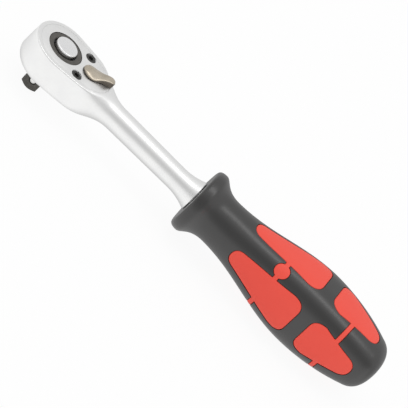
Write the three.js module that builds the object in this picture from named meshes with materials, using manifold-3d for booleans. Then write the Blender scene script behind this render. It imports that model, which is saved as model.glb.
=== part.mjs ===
// Reversible ratchet with a quarter inch square drive and a two-colour moulded handle, in millimetres.
// The origin is the middle of the end face of the square. +Z runs up the drive axis to the release
// button, and +X runs from the drive axis along the shank to the end of the handle.
import * as THREE from 'three';
import { mergeVertices } from 'three/addons/utils/BufferGeometryUtils.js';
import Module from 'manifold-3d';

const wasm = await Module();
wasm.setup();

// Square drive
const SQUARE_WIDTH = 6.35;
const SQUARE_LENGTH = 7.6;
const SQUARE_ACROSS_CORNERS = 8.4;
const SQUARE_END_DIAMETER = 5.2;
const SQUARE_CHAMFER = 1.3;

// Head of the forging
const HEAD_RADIUS = 12.1;
const HEAD_THICKNESS = 12.4;
const HEAD_FLOOR = 2.5;
const HEAD_TOP_EDGE = 1;
const HEAD_BOTTOM_EDGE = 3.2;
const HEAD_BACK_X = 16.5;
const HEAD_BACK_WIDTH = 19.8;
const HEAD_TOP_ABOVE_SHANK = 6;

// Shank, collar and tang of the forging
const NECK_SLOPE = 0.63;
const NECK_FOOT_X = 25;
const NECK_BLEND = 4.5;
const SHANK_FRONT_RADIUS = 4.65;
const SHANK_REAR_RADIUS = 4.4;
const COLLAR_LENGTH = 6.4;
const COLLAR_RADIUS = 6.15;
const COLLAR_EDGE = 0.5;
const TANG_RADIUS = 3.7;
const TANG_LENGTH = 58;
const TANG_POINT = 1.5;
const TANG_SIDES = 6;

// Cover plate and its screws
const PLATE_THICKNESS = 1.6;
const PLATE_RIM = 0.7;
const PLATE_BACK_RADIUS = 8.1;
const PLATE_GAP = 0.12;
const SCREW_X = 8.8;
const SCREW_SPACING = 13.8;
const SCREW_HEAD_RADIUS = 2.05;
const SCREW_HEAD_HEIGHT = 1.1;
const SCREW_RIM = 0.2;
const SCREW_SHANK_RADIUS = 1;
const SCREW_LENGTH = 7;
const SCREW_RECESS_RADIUS = 1.05;
const SCREW_RECESS_LOBE = 0.2;
const SCREW_RECESS_DEPTH = 0.9;
const SCREW_LOBES = 6;

// Ratchet wheel
const TEETH = 60;
const WHEEL_TIP_RADIUS = 8;
const WHEEL_TOOTH_HEIGHT = 0.42;
const WHEEL_TOOTH_FLAT = 0.18;
const DISC_RADIUS = 6.95;
const DISC_BELOW_PLATE = 0.1;
const JOURNAL_RADIUS = 5.6;
const JOURNAL_BELOW_HEAD = 1;
const JOURNAL_EDGE = 0.3;
const WASHER_THICKNESS = 0.35;
const WASHER_INSIDE_TEETH = 0.33;

// Release button, its pin, spring and ring
const BUTTON_RADIUS = 4.35;
const BUTTON_PROUD = 1.4;
const BUTTON_EDGE = 0.6;
const BUTTON_TRAVEL = 1.6;
const BUTTON_HEIGHT = 4.6;
const BUTTON_FLANGE_WIDTH = 0.4;
const BUTTON_FLANGE_HEIGHT = 0.8;
const BUTTON_HOLLOW_RADIUS = 3.2;
const BUTTON_HOLLOW_DEPTH = 2.2;
const BUTTON_RING_THICKNESS = 0.5;
const BUTTON_RING_WIDTH = 0.8;
const BUTTON_RING_OPENING = 1.6;
const PIN_RADIUS = 1.2;
const PIN_SOCKET_DEPTH = 1.6;
const RELEASE_WIRE_RADIUS = 0.25;
const RELEASE_CURLS = 4;

// Ball of the square
const BALL_RADIUS = 1.5;
const BALL_FROM_END = 4.1;
const BALL_PROUD = 0.55;
const BALL_LIP = 0.2;
const BALL_SUNK = 0.05;
const SQUARE_END_WALL = 1;

// Reversing lever
const LEVER_BEHIND_WHEEL = 4.4;
const LEVER_THROW_DEG = 20;
const LEVER_HUB_RADIUS = 3.5;
const LEVER_HUB_HEIGHT = 1.3;
const LEVER_TAIL = 7.3;
const LEVER_TAIL_RADIUS = 1.9;
const LEVER_THUMB_HEIGHT = 3.3;
const LEVER_RISE = 0.7;
const LEVER_LIFT = 0.25;
const SPINDLE_JOURNAL_RADIUS = 2.6;
const SPINDLE_RADIUS = 2.3;
const SPINDLE_FOOT_RADIUS = 1.9;
const SPINDLE_FOOT_LENGTH = 1.5;
const CLIP_THICKNESS = 0.5;
const CLIP_WIDTH = 1.2;
const CLIP_OPENING = 2.6;
const CLIP_GROOVE = 0.4;
const SEAL_THICKNESS = 0.6;
const SEAL_GAP = 0.06;

// Pawl and the plunger that pushes it
const PAWL_PIVOT_BEHIND_WHEEL = 2.4;
const PAWL_ROCK_DEG = 9.4;
const PAWL_BACK_RADIUS = 5.9;
const PAWL_THICKNESS = 2.5;
const PAWL_SPAN_DEG = 34;
const PAWL_END_TRIM = 0.5;
const PAWL_BARE_DEG = 17;
const PLUNGER_RADIUS = 0.85;
const PLUNGER_REACH = 3;
const PLUNGER_LENGTH = 2;
const PLUNGER_WIRE_RADIUS = 0.14;
const PLUNGER_CURLS = 2.25;

// Handle
const HANDLE_FRONT_X = 67.8;
const HANDLE_FACE_RADIUS = 11;
const FLANGE_RADIUS = 12.85;
const FLANGE_X = 70.8;
const NECK_RADIUS = 9.15;
const NECK_X = 80.3;
const BELLY_RADIUS = 15.25;
const BELLY_X = 122.5;
const TAIL_RADIUS = 10.8;
const TAIL_X = 149;
const HANDLE_END_X = 155.3;
const FLANGE_ROUNDING = 0.24;
const NECK_HOLLOW = 0.32;
const BELLY_RISE = 0.365;
const BELLY_FALL = 0.415;
const TAIL_LEAD = 0.226;
const TAIL_STEEPNESS = 0.485;
const DOME_REACH = 0.413;
const DOME_SHOULDER = 0.907;
const DOME_FLAT = 0.6;
const HANDLE_SQUARENESS = 0.055;
const SQUARE_FROM_X = 82;
const SQUARE_FULL_X = 108;
const SQUARE_FADE_X = 136;
const SQUARE_AT_END = 0.35;

// Red inlays of the handle
const INLAY_DEPTH = 1.5;
const INLAY_GAP = 0.12;
const PAD_ROWS = 4;
const LONG_PAD_FRONT_X = 90;
const LONG_PAD_REAR_X = 121.6;
const LONG_PAD_FRONT_HALF = 3.7;
const LONG_PAD_REAR_HALF = 7.8;
const SHORT_PAD_FRONT_X = 126.4;
const SHORT_PAD_REAR_X = 148;
const SHORT_PAD_FRONT_HALF = 7.6;
const SHORT_PAD_REAR_HALF = 4.4;
const LONG_PAD_TIP = 0.1;
const SHORT_PAD_FRONT_ROUNDING = 0.23;
const PAD_ROUNDING = 0.19;
const PAD_TIP_FULLNESS = 0.82;
const PAD_CORNER_FULLNESS = 1.1;
const FRONT_BRIDGE_X = 106.6;
const REAR_BRIDGE_X = 137.1;
const BRIDGE_WIDTH = 1.9;
const BOSS_RADIUS = 2.9;
const BOSS_ANGLE_DEG = 45;

// Clearances
const RUN_GAP = 0.15;
const MESH_GAP = 0.12;
const FACE_GAP = 0.3;
const POCKET_GAP = 0.6;
const SHELL_GAP = 0.35;

// Fineness of the facets
const ROUND_SIDES = 28;
const SMALL_SIDES = 24;
const TINY_SIDES = 16;
const HANDLE_SIDES = 24;
const HANDLE_CURVE_STEPS = 5;
const SHANK_CURVE_STEPS = 4;
const PAD_CURVE_STEPS = 4;
const LEVER_CURVE_STEPS = 4;
const PLAN_CURVE_STEPS = 9;
const HEAD_ARC_STEPS = 9;
const EDGE_STEPS = 3;
const CURL_STEPS = 8;
const WIRE_SIDES = 5;
const FAR = 40;
const WELD = 1e-4;

// Heights worked out from the sizes above
const headBottomZ = SQUARE_LENGTH + JOURNAL_BELOW_HEAD;
const headTopZ = headBottomZ + HEAD_THICKNESS;
const shankZ = headTopZ - HEAD_TOP_ABOVE_SHANK;
const floorZ = headBottomZ + HEAD_FLOOR;
const plateBottomZ = headTopZ - PLATE_THICKNESS;
const wheelBottomZ = floorZ + WASHER_THICKNESS + 2 * RUN_GAP;
const wheelTopZ = plateBottomZ - FACE_GAP;
const discTopZ = headTopZ - DISC_BELOW_PLATE;
const buttonTopZ = discTopZ + BUTTON_PROUD;
const buttonBottomZ = buttonTopZ - BUTTON_HEIGHT;
const flangeTopZ = buttonBottomZ + BUTTON_FLANGE_HEIGHT;
const springFloorZ = buttonBottomZ - BUTTON_TRAVEL - POCKET_GAP;
const springTopZ = buttonBottomZ + BUTTON_HOLLOW_DEPTH;
const pinTopZ = springTopZ + PIN_SOCKET_DEPTH - RUN_GAP;
const ballZ = BALL_FROM_END;
const pinBottomZ = SQUARE_END_WALL + BUTTON_TRAVEL + RUN_GAP;
const leverBottomZ = headTopZ + LEVER_LIFT;
const clipTopZ = plateBottomZ - RUN_GAP;
const clipBottomZ = clipTopZ - CLIP_THICKNESS;
const pawlBottomZ = floorZ + FACE_GAP;
const pawlTopZ = clipBottomZ - FACE_GAP;
const pawlMiddleZ = (pawlBottomZ + pawlTopZ) / 2;

const squareHalf = SQUARE_WIDTH / 2;
const ballRestY = squareHalf + BALL_PROUD - BALL_RADIUS;
const ballTravel = BALL_PROUD + BALL_SUNK;
const pinBoreRadius = PIN_RADIUS + RUN_GAP;
const buttonBoreRadius = BUTTON_RADIUS + BUTTON_FLANGE_WIDTH + RUN_GAP;
const shankEndX = HANDLE_FRONT_X - FACE_GAP;
const neckStartX = NECK_FOOT_X - NECK_BLEND;
const neckStartRadius = SHANK_FRONT_RADIUS + NECK_BLEND * NECK_SLOPE;
const wheelRootRadius = WHEEL_TIP_RADIUS - WHEEL_TOOTH_HEIGHT;
const leverX = WHEEL_TIP_RADIUS + LEVER_BEHIND_WHEEL;
const pawlPivotX = WHEEL_TIP_RADIUS + PAWL_PIVOT_BEHIND_WHEEL;
const pawlBackX = WHEEL_TIP_RADIUS + PAWL_THICKNESS;

const radians = THREE.MathUtils.degToRad;

// Solid made from a closed geometry. Vertices are welded and slivers dropped.
function solid(geometry) {
  const bare = new THREE.BufferGeometry();
  bare.setAttribute('position', geometry.getAttribute('position'));
  bare.setIndex(geometry.getIndex());
  const welded = mergeVertices(bare, WELD);
  const points = welded.getAttribute('position').array;
  const corners = welded.getIndex().array;
  const triangles = [];
  for (let i = 0; i < corners.length; i += 3) {
    const [a, b, c] = [corners[i], corners[i + 1], corners[i + 2]];
    if (a !== b && b !== c && c !== a) triangles.push(a, b, c);
  }
  const mesh = new wasm.Mesh({
    numProp: 3,
    vertProperties: new Float32Array(points),
    triVerts: new Uint32Array(signedVolume(points, triangles) < 0 ? triangles.reverse() : triangles),
  });
  return new wasm.Manifold(mesh);
}

// Volume inside a triangle list, negative when its faces point inwards.
function signedVolume(points, triangles) {
  const corner = (i) => new THREE.Vector3().fromArray(points, 3 * triangles[i]);
  let total = 0;
  for (let i = 0; i < triangles.length; i += 3) {
    total += corner(i).dot(corner(i + 1).cross(corner(i + 2)));
  }
  return total / 6;
}

function union(...solids) {
  return solids.reduce((sum, next) => sum.add(next));
}

function cut(body, ...tools) {
  return tools.reduce((left, tool) => left.subtract(tool), body);
}

// Upright cylinder.
function drum(radius, lowZ, highZ, x = 0, y = 0, sides = ROUND_SIDES) {
  const geometry = new THREE.CylinderGeometry(radius, radius, highZ - lowZ, sides);
  return solid(geometry.rotateX(Math.PI / 2).translate(x, y, (lowZ + highZ) / 2));
}

// Body turned about the Z axis from a profile of [radius, height] pairs.
function turnedUpright(profile, x = 0, y = 0, sides = ROUND_SIDES) {
  const points = profile.map(([radius, z]) => new THREE.Vector2(radius, z));
  return solid(new THREE.LatheGeometry(points, sides).rotateX(Math.PI / 2).translate(x, y, 0));
}

// Body turned about the shank's axis from a path of (x, radius) points.
function turnedAlong(points, sides = ROUND_SIDES) {
  const profile = points.map((point) => new THREE.Vector2(point.y, point.x));
  return new THREE.LatheGeometry(profile, sides).rotateZ(-Math.PI / 2).translate(0, 0, shankZ);
}

// Upright prism of a plan outline, grown outwards by a margin.
function prism(shape, lowZ, highZ, margin = 0, curveSegments = PLAN_CURVE_STEPS) {
  const geometry = new THREE.ExtrudeGeometry(shape, {
    depth: highZ - lowZ,
    curveSegments,
    bevelEnabled: margin !== 0,
    bevelThickness: 0,
    bevelSize: 0,
    bevelOffset: margin,
    bevelSegments: 1,
  });
  return solid(geometry.translate(0, 0, lowZ));
}

// Prism whose edges at both ends are rounded, with its full outline kept.
function roundedPrism(shape, lowZ, highZ, edge) {
  const geometry = new THREE.ExtrudeGeometry(shape, {
    depth: highZ - lowZ - 2 * edge,
    curveSegments: HEAD_ARC_STEPS,
    bevelEnabled: true,
    bevelThickness: edge,
    bevelSize: edge,
    bevelOffset: -edge,
    bevelSegments: EDGE_STEPS,
  });
  return solid(geometry.translate(0, 0, lowZ + edge));
}

// Outline round two circles on the X axis, joined by their tangents.
function twoCircleShape(frontX, frontRadius, backX, backRadius) {
  const lean = Math.acos((frontRadius - backRadius) / (backX - frontX));
  const shape = new THREE.Shape();
  shape.absarc(frontX, 0, frontRadius, lean, 2 * Math.PI - lean, false);
  shape.absarc(backX, 0, backRadius, -lean, lean, false);
  return shape;
}

// Shape that is its own mirror image across the X axis, from the path of its upper half.
function mirroredShape(upper, divisions) {
  const points = upper.getPoints(divisions);
  const lower = points.slice(1, -1).reverse().map((point) => new THREE.Vector2(point.x, -point.y));
  return new THREE.Shape([...points, ...lower]);
}

// Flat open ring, with its opening on the +X side.
function openRing(innerRadius, outerRadius, opening, lowZ, highZ) {
  const outerHalf = Math.asin(opening / 2 / outerRadius);
  const innerHalf = Math.asin(opening / 2 / innerRadius);
  const shape = new THREE.Shape();
  shape.absarc(0, 0, outerRadius, outerHalf, 2 * Math.PI - outerHalf, false);
  shape.absarc(0, 0, innerRadius, 2 * Math.PI - innerHalf, innerHalf, true);
  return prism(shape, lowZ, highZ);
}

// Wire helix along the Z axis, with its ends at the two given heights.
class Helix extends THREE.Curve {
  constructor(radius, lowZ, highZ, curls) {
    super();
    Object.assign(this, { radius, lowZ, highZ, curls });
  }

  getPoint(t, target = new THREE.Vector3()) {
    const angle = 2 * Math.PI * this.curls * t;
    const z = this.lowZ + (this.highZ - this.lowZ) * t;
    return target.set(this.radius * Math.cos(angle), this.radius * Math.sin(angle), z);
  }
}

// Least gap between one curl of a helix and the next, measured on points of the wire.
function leastGap(helix, wireRadius) {
  const points = helix.getPoints(CURL_STEPS * helix.curls);
  let least = Infinity;
  for (let i = 0; i < points.length; i += 1) {
    for (let j = i + CURL_STEPS / 2; j < points.length; j += 1) {
      least = Math.min(least, points[i].distanceTo(points[j]) - 2 * wireRadius);
    }
  }
  return least;
}

function coilSpring(name, meanRadius, wireRadius, lowZ, highZ, curls) {
  const helix = new Helix(meanRadius, lowZ + wireRadius, highZ - wireRadius, curls);
  const section = new THREE.Shape();
  section.absarc(0, 0, wireRadius, 0, 2 * Math.PI, false);
  console.log(`${name}: least gap of the wire to itself ${leastGap(helix, wireRadius).toFixed(2)} mm`);
  return solid(new THREE.ExtrudeGeometry(section, {
    steps: Math.round(CURL_STEPS * curls),
    curveSegments: Math.ceil(WIRE_SIDES / 2),
    extrudePath: helix,
  }));
}

// Head outline from above: a round front, straight sides, and shoulders that bend in to the neck.
function headShape(endX) {
  const backHalf = HEAD_BACK_WIDTH / 2;
  const neckHalf = neckStartRadius + HEAD_TOP_EDGE;
  const corner = Math.atan2(backHalf, HEAD_BACK_X);
  const tangent = corner + Math.acos(HEAD_RADIUS / Math.hypot(HEAD_BACK_X, backHalf));
  const sideX = HEAD_BACK_X / 2;
  const sideY = backHalf + (HEAD_BACK_X - sideX) / Math.tan(tangent);
  const shape = new THREE.Shape();
  shape.moveTo(endX, neckHalf);
  shape.lineTo(neckStartX, neckHalf);
  shape.quadraticCurveTo(HEAD_BACK_X, backHalf, sideX, sideY);
  shape.absarc(0, 0, HEAD_RADIUS, tangent, 2 * Math.PI - tangent, false);
  shape.lineTo(sideX, -sideY);
  shape.quadraticCurveTo(HEAD_BACK_X, -backHalf, neckStartX, -neckHalf);
  shape.lineTo(endX, -neckHalf);
  shape.closePath();
  return shape;
}

// Turned envelope of the forging: a cone that blends into the shank, and the flared collar.
function shankProfile() {
  const coneX = (radius) => NECK_FOOT_X - (radius - SHANK_FRONT_RADIUS) / NECK_SLOPE;
  const envelope = HEAD_RADIUS + HEAD_THICKNESS;
  const collarX = shankEndX - COLLAR_LENGTH;
  const path = new THREE.Path();
  path.moveTo(-FAR, 0);
  path.lineTo(-FAR, envelope);
  path.lineTo(coneX(envelope), envelope);
  path.lineTo(neckStartX, neckStartRadius);
  path.quadraticCurveTo(NECK_FOOT_X, SHANK_FRONT_RADIUS, NECK_FOOT_X + NECK_BLEND, SHANK_FRONT_RADIUS);
  path.lineTo(collarX, SHANK_REAR_RADIUS);
  path.quadraticCurveTo(
    shankEndX - 2 * COLLAR_EDGE, SHANK_REAR_RADIUS,
    shankEndX - COLLAR_EDGE, COLLAR_RADIUS);
  path.quadraticCurveTo(shankEndX, COLLAR_RADIUS, shankEndX, COLLAR_RADIUS - COLLAR_EDGE);
  path.lineTo(shankEndX, 0);
  return path.getPoints(SHANK_CURVE_STEPS);
}

// Six-sided tang with a pointed end, grown outwards by a margin.
function tang(startX, margin) {
  const endX = shankEndX + TANG_LENGTH + margin;
  const radius = TANG_RADIUS + margin;
  return solid(turnedAlong([
    new THREE.Vector2(startX, 0),
    new THREE.Vector2(startX, radius),
    new THREE.Vector2(endX - TANG_POINT, radius),
    new THREE.Vector2(endX, radius - TANG_POINT),
    new THREE.Vector2(endX, 0),
  ], TANG_SIDES));
}

function plateShape() {
  return twoCircleShape(0, HEAD_RADIUS - HEAD_TOP_EDGE - PLATE_RIM, leverX, PLATE_BACK_RADIUS);
}

function screwPlaces() {
  return { left: SCREW_SPACING / 2, right: -SCREW_SPACING / 2 };
}

// Room in the head for the pawl at both ends of its rock.
function pawlPocket() {
  const swing = PAWL_BACK_RADIUS + POCKET_GAP;
  const strip = new THREE.BoxGeometry(FAR, 2 * PAWL_BACK_RADIUS - PAWL_END_TRIM, headTopZ - floorZ);
  strip.translate(FAR / 2, 0, (headTopZ + floorZ) / 2);
  return drum(swing, floorZ, headTopZ, pawlBackX - PAWL_BACK_RADIUS).intersect(solid(strip));
}

function ratchetBody() {
  const slabEnd = NECK_FOOT_X + 2 * NECK_BLEND;
  const outline = headShape(slabEnd);
  const slab = roundedPrism(outline, headBottomZ - HEAD_THICKNESS, headTopZ, HEAD_TOP_EDGE)
    .intersect(roundedPrism(outline, headBottomZ, headTopZ + HEAD_THICKNESS, HEAD_BOTTOM_EDGE));
  const shankRoom = new THREE.BoxGeometry(FAR, HEAD_BACK_WIDTH, HEAD_BACK_WIDTH);
  shankRoom.translate(slabEnd - HEAD_BOTTOM_EDGE - HEAD_TOP_EDGE + FAR / 2, 0, shankZ);
  const forging = solid(turnedAlong(shankProfile())).intersect(slab.add(solid(shankRoom)));
  const holeEndZ = headTopZ - SCREW_LENGTH - POCKET_GAP;
  const holes = Object.values(screwPlaces()).map((y) => drum(
    SCREW_SHANK_RADIUS + RUN_GAP, holeEndZ, headTopZ, SCREW_X, y, SMALL_SIDES));
  const footEndZ = floorZ - SPINDLE_FOOT_LENGTH - RUN_GAP;
  return cut(
    forging.add(tang(shankEndX - COLLAR_EDGE, 0)),
    prism(plateShape(), plateBottomZ, headTopZ + FAR, PLATE_GAP),
    drum(WHEEL_TIP_RADIUS + SHELL_GAP, floorZ, headTopZ),
    drum(JOURNAL_RADIUS + RUN_GAP, 0, headTopZ),
    pawlPocket(),
    drum(SPINDLE_RADIUS + CLIP_WIDTH + SHELL_GAP, floorZ, headTopZ, leverX),
    drum(SPINDLE_FOOT_RADIUS + RUN_GAP, footEndZ, headTopZ, leverX, 0, SMALL_SIDES),
    ...holes,
  );
}

// Countersink of a screw, or the head that lies in it when the margin is nought.
function screwProfile(margin, length) {
  const radius = SCREW_HEAD_RADIUS + margin;
  const shank = SCREW_SHANK_RADIUS + margin;
  const top = headTopZ - DISC_BELOW_PLATE;
  return [
    [0, top - length],
    [shank, top - length],
    [shank, top - SCREW_HEAD_HEIGHT],
    [radius, top - SCREW_RIM],
    [radius, margin ? top + FAR : top],
    [0, margin ? top + FAR : top],
  ];
}

function coverPlate() {
  const sinks = Object.values(screwPlaces()).map((y) => turnedUpright(
    screwProfile(PLATE_GAP, SCREW_LENGTH), SCREW_X, y, SMALL_SIDES));
  const sealSeat = SPINDLE_JOURNAL_RADIUS + 2 * SEAL_GAP + SEAL_THICKNESS;
  return cut(
    prism(plateShape(), plateBottomZ, headTopZ),
    drum(DISC_RADIUS + RUN_GAP, 0, FAR),
    drum(SPINDLE_JOURNAL_RADIUS + RUN_GAP, 0, FAR, leverX),
    drum(sealSeat, headTopZ - SEAL_THICKNESS - RUN_GAP, FAR, leverX),
    ...sinks,
  );
}

// Six-lobed outline of a screw's recess.
function lobedShape() {
  const sides = 4 * SCREW_LOBES;
  const points = Array.from({ length: sides }, (_, i) => {
    const angle = (2 * Math.PI * i) / sides;
    const radius = SCREW_RECESS_RADIUS + SCREW_RECESS_LOBE * Math.cos(SCREW_LOBES * angle);
    return new THREE.Vector2(radius * Math.cos(angle), radius * Math.sin(angle));
  });
  return new THREE.Shape(points);
}

function coverScrew(y) {
  const top = headTopZ - DISC_BELOW_PLATE;
  const recess = prism(lobedShape(), top - SCREW_RECESS_DEPTH, FAR);
  const screw = turnedUpright(screwProfile(0, SCREW_LENGTH), 0, 0, SMALL_SIDES);
  return screw.subtract(recess).translate(SCREW_X, y, 0);
}

// Toothed outline of the wheel, grown outwards by a margin.
function toothShape(margin) {
  const pitch = (2 * Math.PI) / TEETH;
  const flat = WHEEL_TOOTH_FLAT / WHEEL_TIP_RADIUS / 2;
  const points = [];
  for (let i = 0; i < TEETH; i += 1) {
    const corners = [
      [WHEEL_TIP_RADIUS + margin, -flat],
      [WHEEL_TIP_RADIUS + margin, flat],
      [wheelRootRadius + margin, pitch / 2],
    ];
    for (const [radius, offset] of corners) {
      const angle = i * pitch + offset;
      points.push(new THREE.Vector2(radius * Math.cos(angle), radius * Math.sin(angle)));
    }
  }
  return new THREE.Shape(points);
}

// The square's end is turned to a cone, which leaves the curved edge on each flat.
function squareDrive() {
  const half = SQUARE_ACROSS_CORNERS / 2;
  const box = new THREE.BoxGeometry(SQUARE_WIDTH, SQUARE_WIDTH, SQUARE_LENGTH + JOURNAL_BELOW_HEAD);
  box.translate(0, 0, (SQUARE_LENGTH + JOURNAL_BELOW_HEAD) / 2);
  return solid(box).intersect(turnedUpright([
    [0, 0],
    [SQUARE_END_DIAMETER / 2, 0],
    [half, SQUARE_CHAMFER],
    [half, FAR],
    [0, FAR],
  ]));
}

// Cross hole of the ball. Its mouth is narrower than the ball, which keeps the ball in.
function ballHole() {
  const lipDepth = BALL_RADIUS - BALL_PROUD - BALL_LIP;
  const mouth = Math.sqrt(BALL_RADIUS ** 2 - lipDepth ** 2) + MESH_GAP;
  const room = BALL_RADIUS + MESH_GAP;
  const lipY = squareHalf - BALL_LIP;
  const profile = [[0, 0], [room, 0], [room, lipY], [mouth, lipY], [mouth, FAR], [0, FAR]];
  return turnedUpright(profile, 0, 0, SMALL_SIDES).rotate([90, 0, 0]).translate(0, 0, ballZ);
}

function driveGear() {
  const wheel = prism(toothShape(0), wheelBottomZ, wheelTopZ);
  const hub = turnedUpright([
    [0, SQUARE_LENGTH],
    [JOURNAL_RADIUS - JOURNAL_EDGE, SQUARE_LENGTH],
    [JOURNAL_RADIUS, SQUARE_LENGTH + JOURNAL_EDGE],
    [JOURNAL_RADIUS, (wheelBottomZ + wheelTopZ) / 2],
    [DISC_RADIUS, (wheelBottomZ + wheelTopZ) / 2],
    [DISC_RADIUS, discTopZ - JOURNAL_EDGE],
    [DISC_RADIUS - JOURNAL_EDGE, discTopZ],
    [0, discTopZ],
  ]);
  const groove = buttonBoreRadius + BUTTON_RING_WIDTH / 2 + RUN_GAP;
  const bore = turnedUpright([
    [0, SQUARE_END_WALL],
    [pinBoreRadius, SQUARE_END_WALL],
    [pinBoreRadius, springFloorZ],
    [buttonBoreRadius, springFloorZ],
    [buttonBoreRadius, flangeTopZ + RUN_GAP],
    [groove, flangeTopZ + RUN_GAP],
    [groove, flangeTopZ + BUTTON_RING_THICKNESS + 3 * RUN_GAP],
    [buttonBoreRadius, flangeTopZ + BUTTON_RING_THICKNESS + 3 * RUN_GAP],
    [buttonBoreRadius, FAR],
    [0, FAR],
  ], 0, 0, SMALL_SIDES);
  return cut(union(wheel, hub, squareDrive()), bore, ballHole());
}

function thrustWasher() {
  const low = floorZ + RUN_GAP;
  const outer = drum(wheelRootRadius - WASHER_INSIDE_TEETH, low, low + WASHER_THICKNESS);
  return outer.subtract(drum(JOURNAL_RADIUS + RUN_GAP, 0, FAR));
}

function releaseButton() {
  const body = [
    [0, springTopZ],
    [BUTTON_HOLLOW_RADIUS, springTopZ],
    [BUTTON_HOLLOW_RADIUS, buttonBottomZ],
    [BUTTON_RADIUS + BUTTON_FLANGE_WIDTH, buttonBottomZ],
    [BUTTON_RADIUS + BUTTON_FLANGE_WIDTH, flangeTopZ],
    [BUTTON_RADIUS, flangeTopZ],
  ];
  for (let i = 0; i <= EDGE_STEPS; i += 1) {
    const angle = (Math.PI / 2) * (i / EDGE_STEPS);
    body.push([
      BUTTON_RADIUS - BUTTON_EDGE * (1 - Math.cos(angle)),
      buttonTopZ - BUTTON_EDGE * (1 - Math.sin(angle)),
    ]);
  }
  body.push([0, buttonTopZ]);
  return turnedUpright(body).subtract(
    drum(PIN_RADIUS + MESH_GAP, 0, springTopZ + PIN_SOCKET_DEPTH, 0, 0, SMALL_SIDES));
}

// The notch of the pin: a ramp that lets the ball sink as the pin goes down, and a slope that stops it.
function pinNotch() {
  const slope = ballTravel / BUTTON_TRAVEL;
  const standOff = (BALL_RADIUS + MESH_GAP) * Math.hypot(1, slope);
  const rampY = (z) => standOff - ballRestY + slope * (z - ballZ);
  const pressedZ = ballZ + BUTTON_TRAVEL;
  const pressedY = ballTravel - ballRestY;
  const wallSum = pressedY + pressedZ + (BALL_RADIUS + MESH_GAP) * Math.SQRT2;
  const topZ = (wallSum - rampY(0)) / (1 + slope);
  const shape = new THREE.Shape();
  shape.moveTo(rampY(0), 0);
  shape.lineTo(rampY(topZ), topZ);
  shape.lineTo(-FAR, wallSum + FAR);
  shape.lineTo(-FAR, 0);
  shape.closePath();
  const tool = prism(shape, -PIN_RADIUS - RUN_GAP, PIN_RADIUS + RUN_GAP);
  return tool.rotate([90, 0, 90]);
}

function releasePin() {
  return drum(PIN_RADIUS, pinBottomZ, pinTopZ, 0, 0, SMALL_SIDES).subtract(pinNotch());
}

function detentBall() {
  const ball = new THREE.SphereGeometry(BALL_RADIUS, TINY_SIDES, TINY_SIDES / 2);
  return solid(ball.translate(0, -ballRestY, ballZ));
}

// Pawl at rest: rocked so that its near end lies in the teeth of the wheel.
function pawl() {
  const sector = (halfDeg, radius) => {
    const half = radians(halfDeg);
    const shape = new THREE.Shape();
    shape.lineTo(radius * Math.cos(half), -radius * Math.sin(half));
    shape.absarc(0, 0, radius, -half, half, false);
    shape.closePath();
    return prism(shape, pawlBottomZ, pawlTopZ);
  };
  const back = drum(PAWL_BACK_RADIUS, pawlBottomZ, pawlTopZ, pawlBackX - PAWL_BACK_RADIUS);
  const level = cut(
    back.intersect(sector(PAWL_SPAN_DEG, FAR)),
    sector(PAWL_BARE_DEG, WHEEL_TIP_RADIUS + FACE_GAP),
    drum(PLUNGER_REACH + FACE_GAP, 0, FAR, leverX),
  );
  const rocked = (body, degrees) => body
    .translate(-pawlPivotX, 0, 0)
    .rotate([0, 0, degrees])
    .translate(pawlPivotX, 0, 0);
  const teeth = prism(toothShape(MESH_GAP), 0, FAR);
  return cut(rocked(level, -PAWL_ROCK_DEG / 2), teeth, rocked(teeth, -PAWL_ROCK_DEG));
}

// The lever's pieces are made with its tail along +X, and turned as one group.
function leverSide() {
  const riseX = LEVER_TAIL * LEVER_RISE;
  const riseZ = (LEVER_HUB_HEIGHT + LEVER_THUMB_HEIGHT) / 2;
  const tipX = LEVER_TAIL + LEVER_TAIL_RADIUS;
  const shape = new THREE.Shape();
  shape.moveTo(-FAR, 0);
  shape.lineTo(-FAR, LEVER_HUB_HEIGHT);
  shape.lineTo(LEVER_HUB_RADIUS / 2, LEVER_HUB_HEIGHT);
  shape.quadraticCurveTo(LEVER_TAIL / 2, LEVER_HUB_HEIGHT, riseX, riseZ);
  shape.quadraticCurveTo((riseX + LEVER_TAIL) / 2, LEVER_THUMB_HEIGHT, LEVER_TAIL, LEVER_THUMB_HEIGHT);
  shape.quadraticCurveTo(tipX, LEVER_THUMB_HEIGHT, tipX, LEVER_HUB_HEIGHT);
  shape.lineTo(tipX, 0);
  shape.closePath();
  return prism(shape, -FAR, FAR, 0, LEVER_CURVE_STEPS).rotate([90, 0, 0]).translate(0, 0, leverBottomZ);
}

function reversingLever() {
  const plan = twoCircleShape(0, LEVER_HUB_RADIUS, LEVER_TAIL, LEVER_TAIL_RADIUS);
  const thumb = prism(plan, leverBottomZ, leverBottomZ + FAR).intersect(leverSide());
  const groove = SPINDLE_RADIUS - CLIP_GROOVE;
  const spindle = turnedUpright([
    [0, floorZ - SPINDLE_FOOT_LENGTH],
    [SPINDLE_FOOT_RADIUS, floorZ - SPINDLE_FOOT_LENGTH],
    [SPINDLE_FOOT_RADIUS, floorZ + RUN_GAP],
    [SPINDLE_RADIUS, floorZ + RUN_GAP],
    [SPINDLE_RADIUS, clipBottomZ - RUN_GAP],
    [groove, clipBottomZ - RUN_GAP],
    [groove, clipTopZ],
    [SPINDLE_JOURNAL_RADIUS, clipTopZ + RUN_GAP],
    [SPINDLE_JOURNAL_RADIUS, leverBottomZ + LEVER_HUB_HEIGHT / 2],
    [0, leverBottomZ + LEVER_HUB_HEIGHT / 2],
  ]);
  const bore = drum(PLUNGER_RADIUS + RUN_GAP, -SPINDLE_RADIUS / 2, FAR, 0, 0, SMALL_SIDES);
  return thumb.add(spindle).subtract(alongPlunger(bore));
}

// Turns a piece made upright so that it lies in the spindle and points at the pawl.
function alongPlunger(body) {
  return body.rotate([0, -90, 0]).translate(0, 0, pawlMiddleZ);
}

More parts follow.
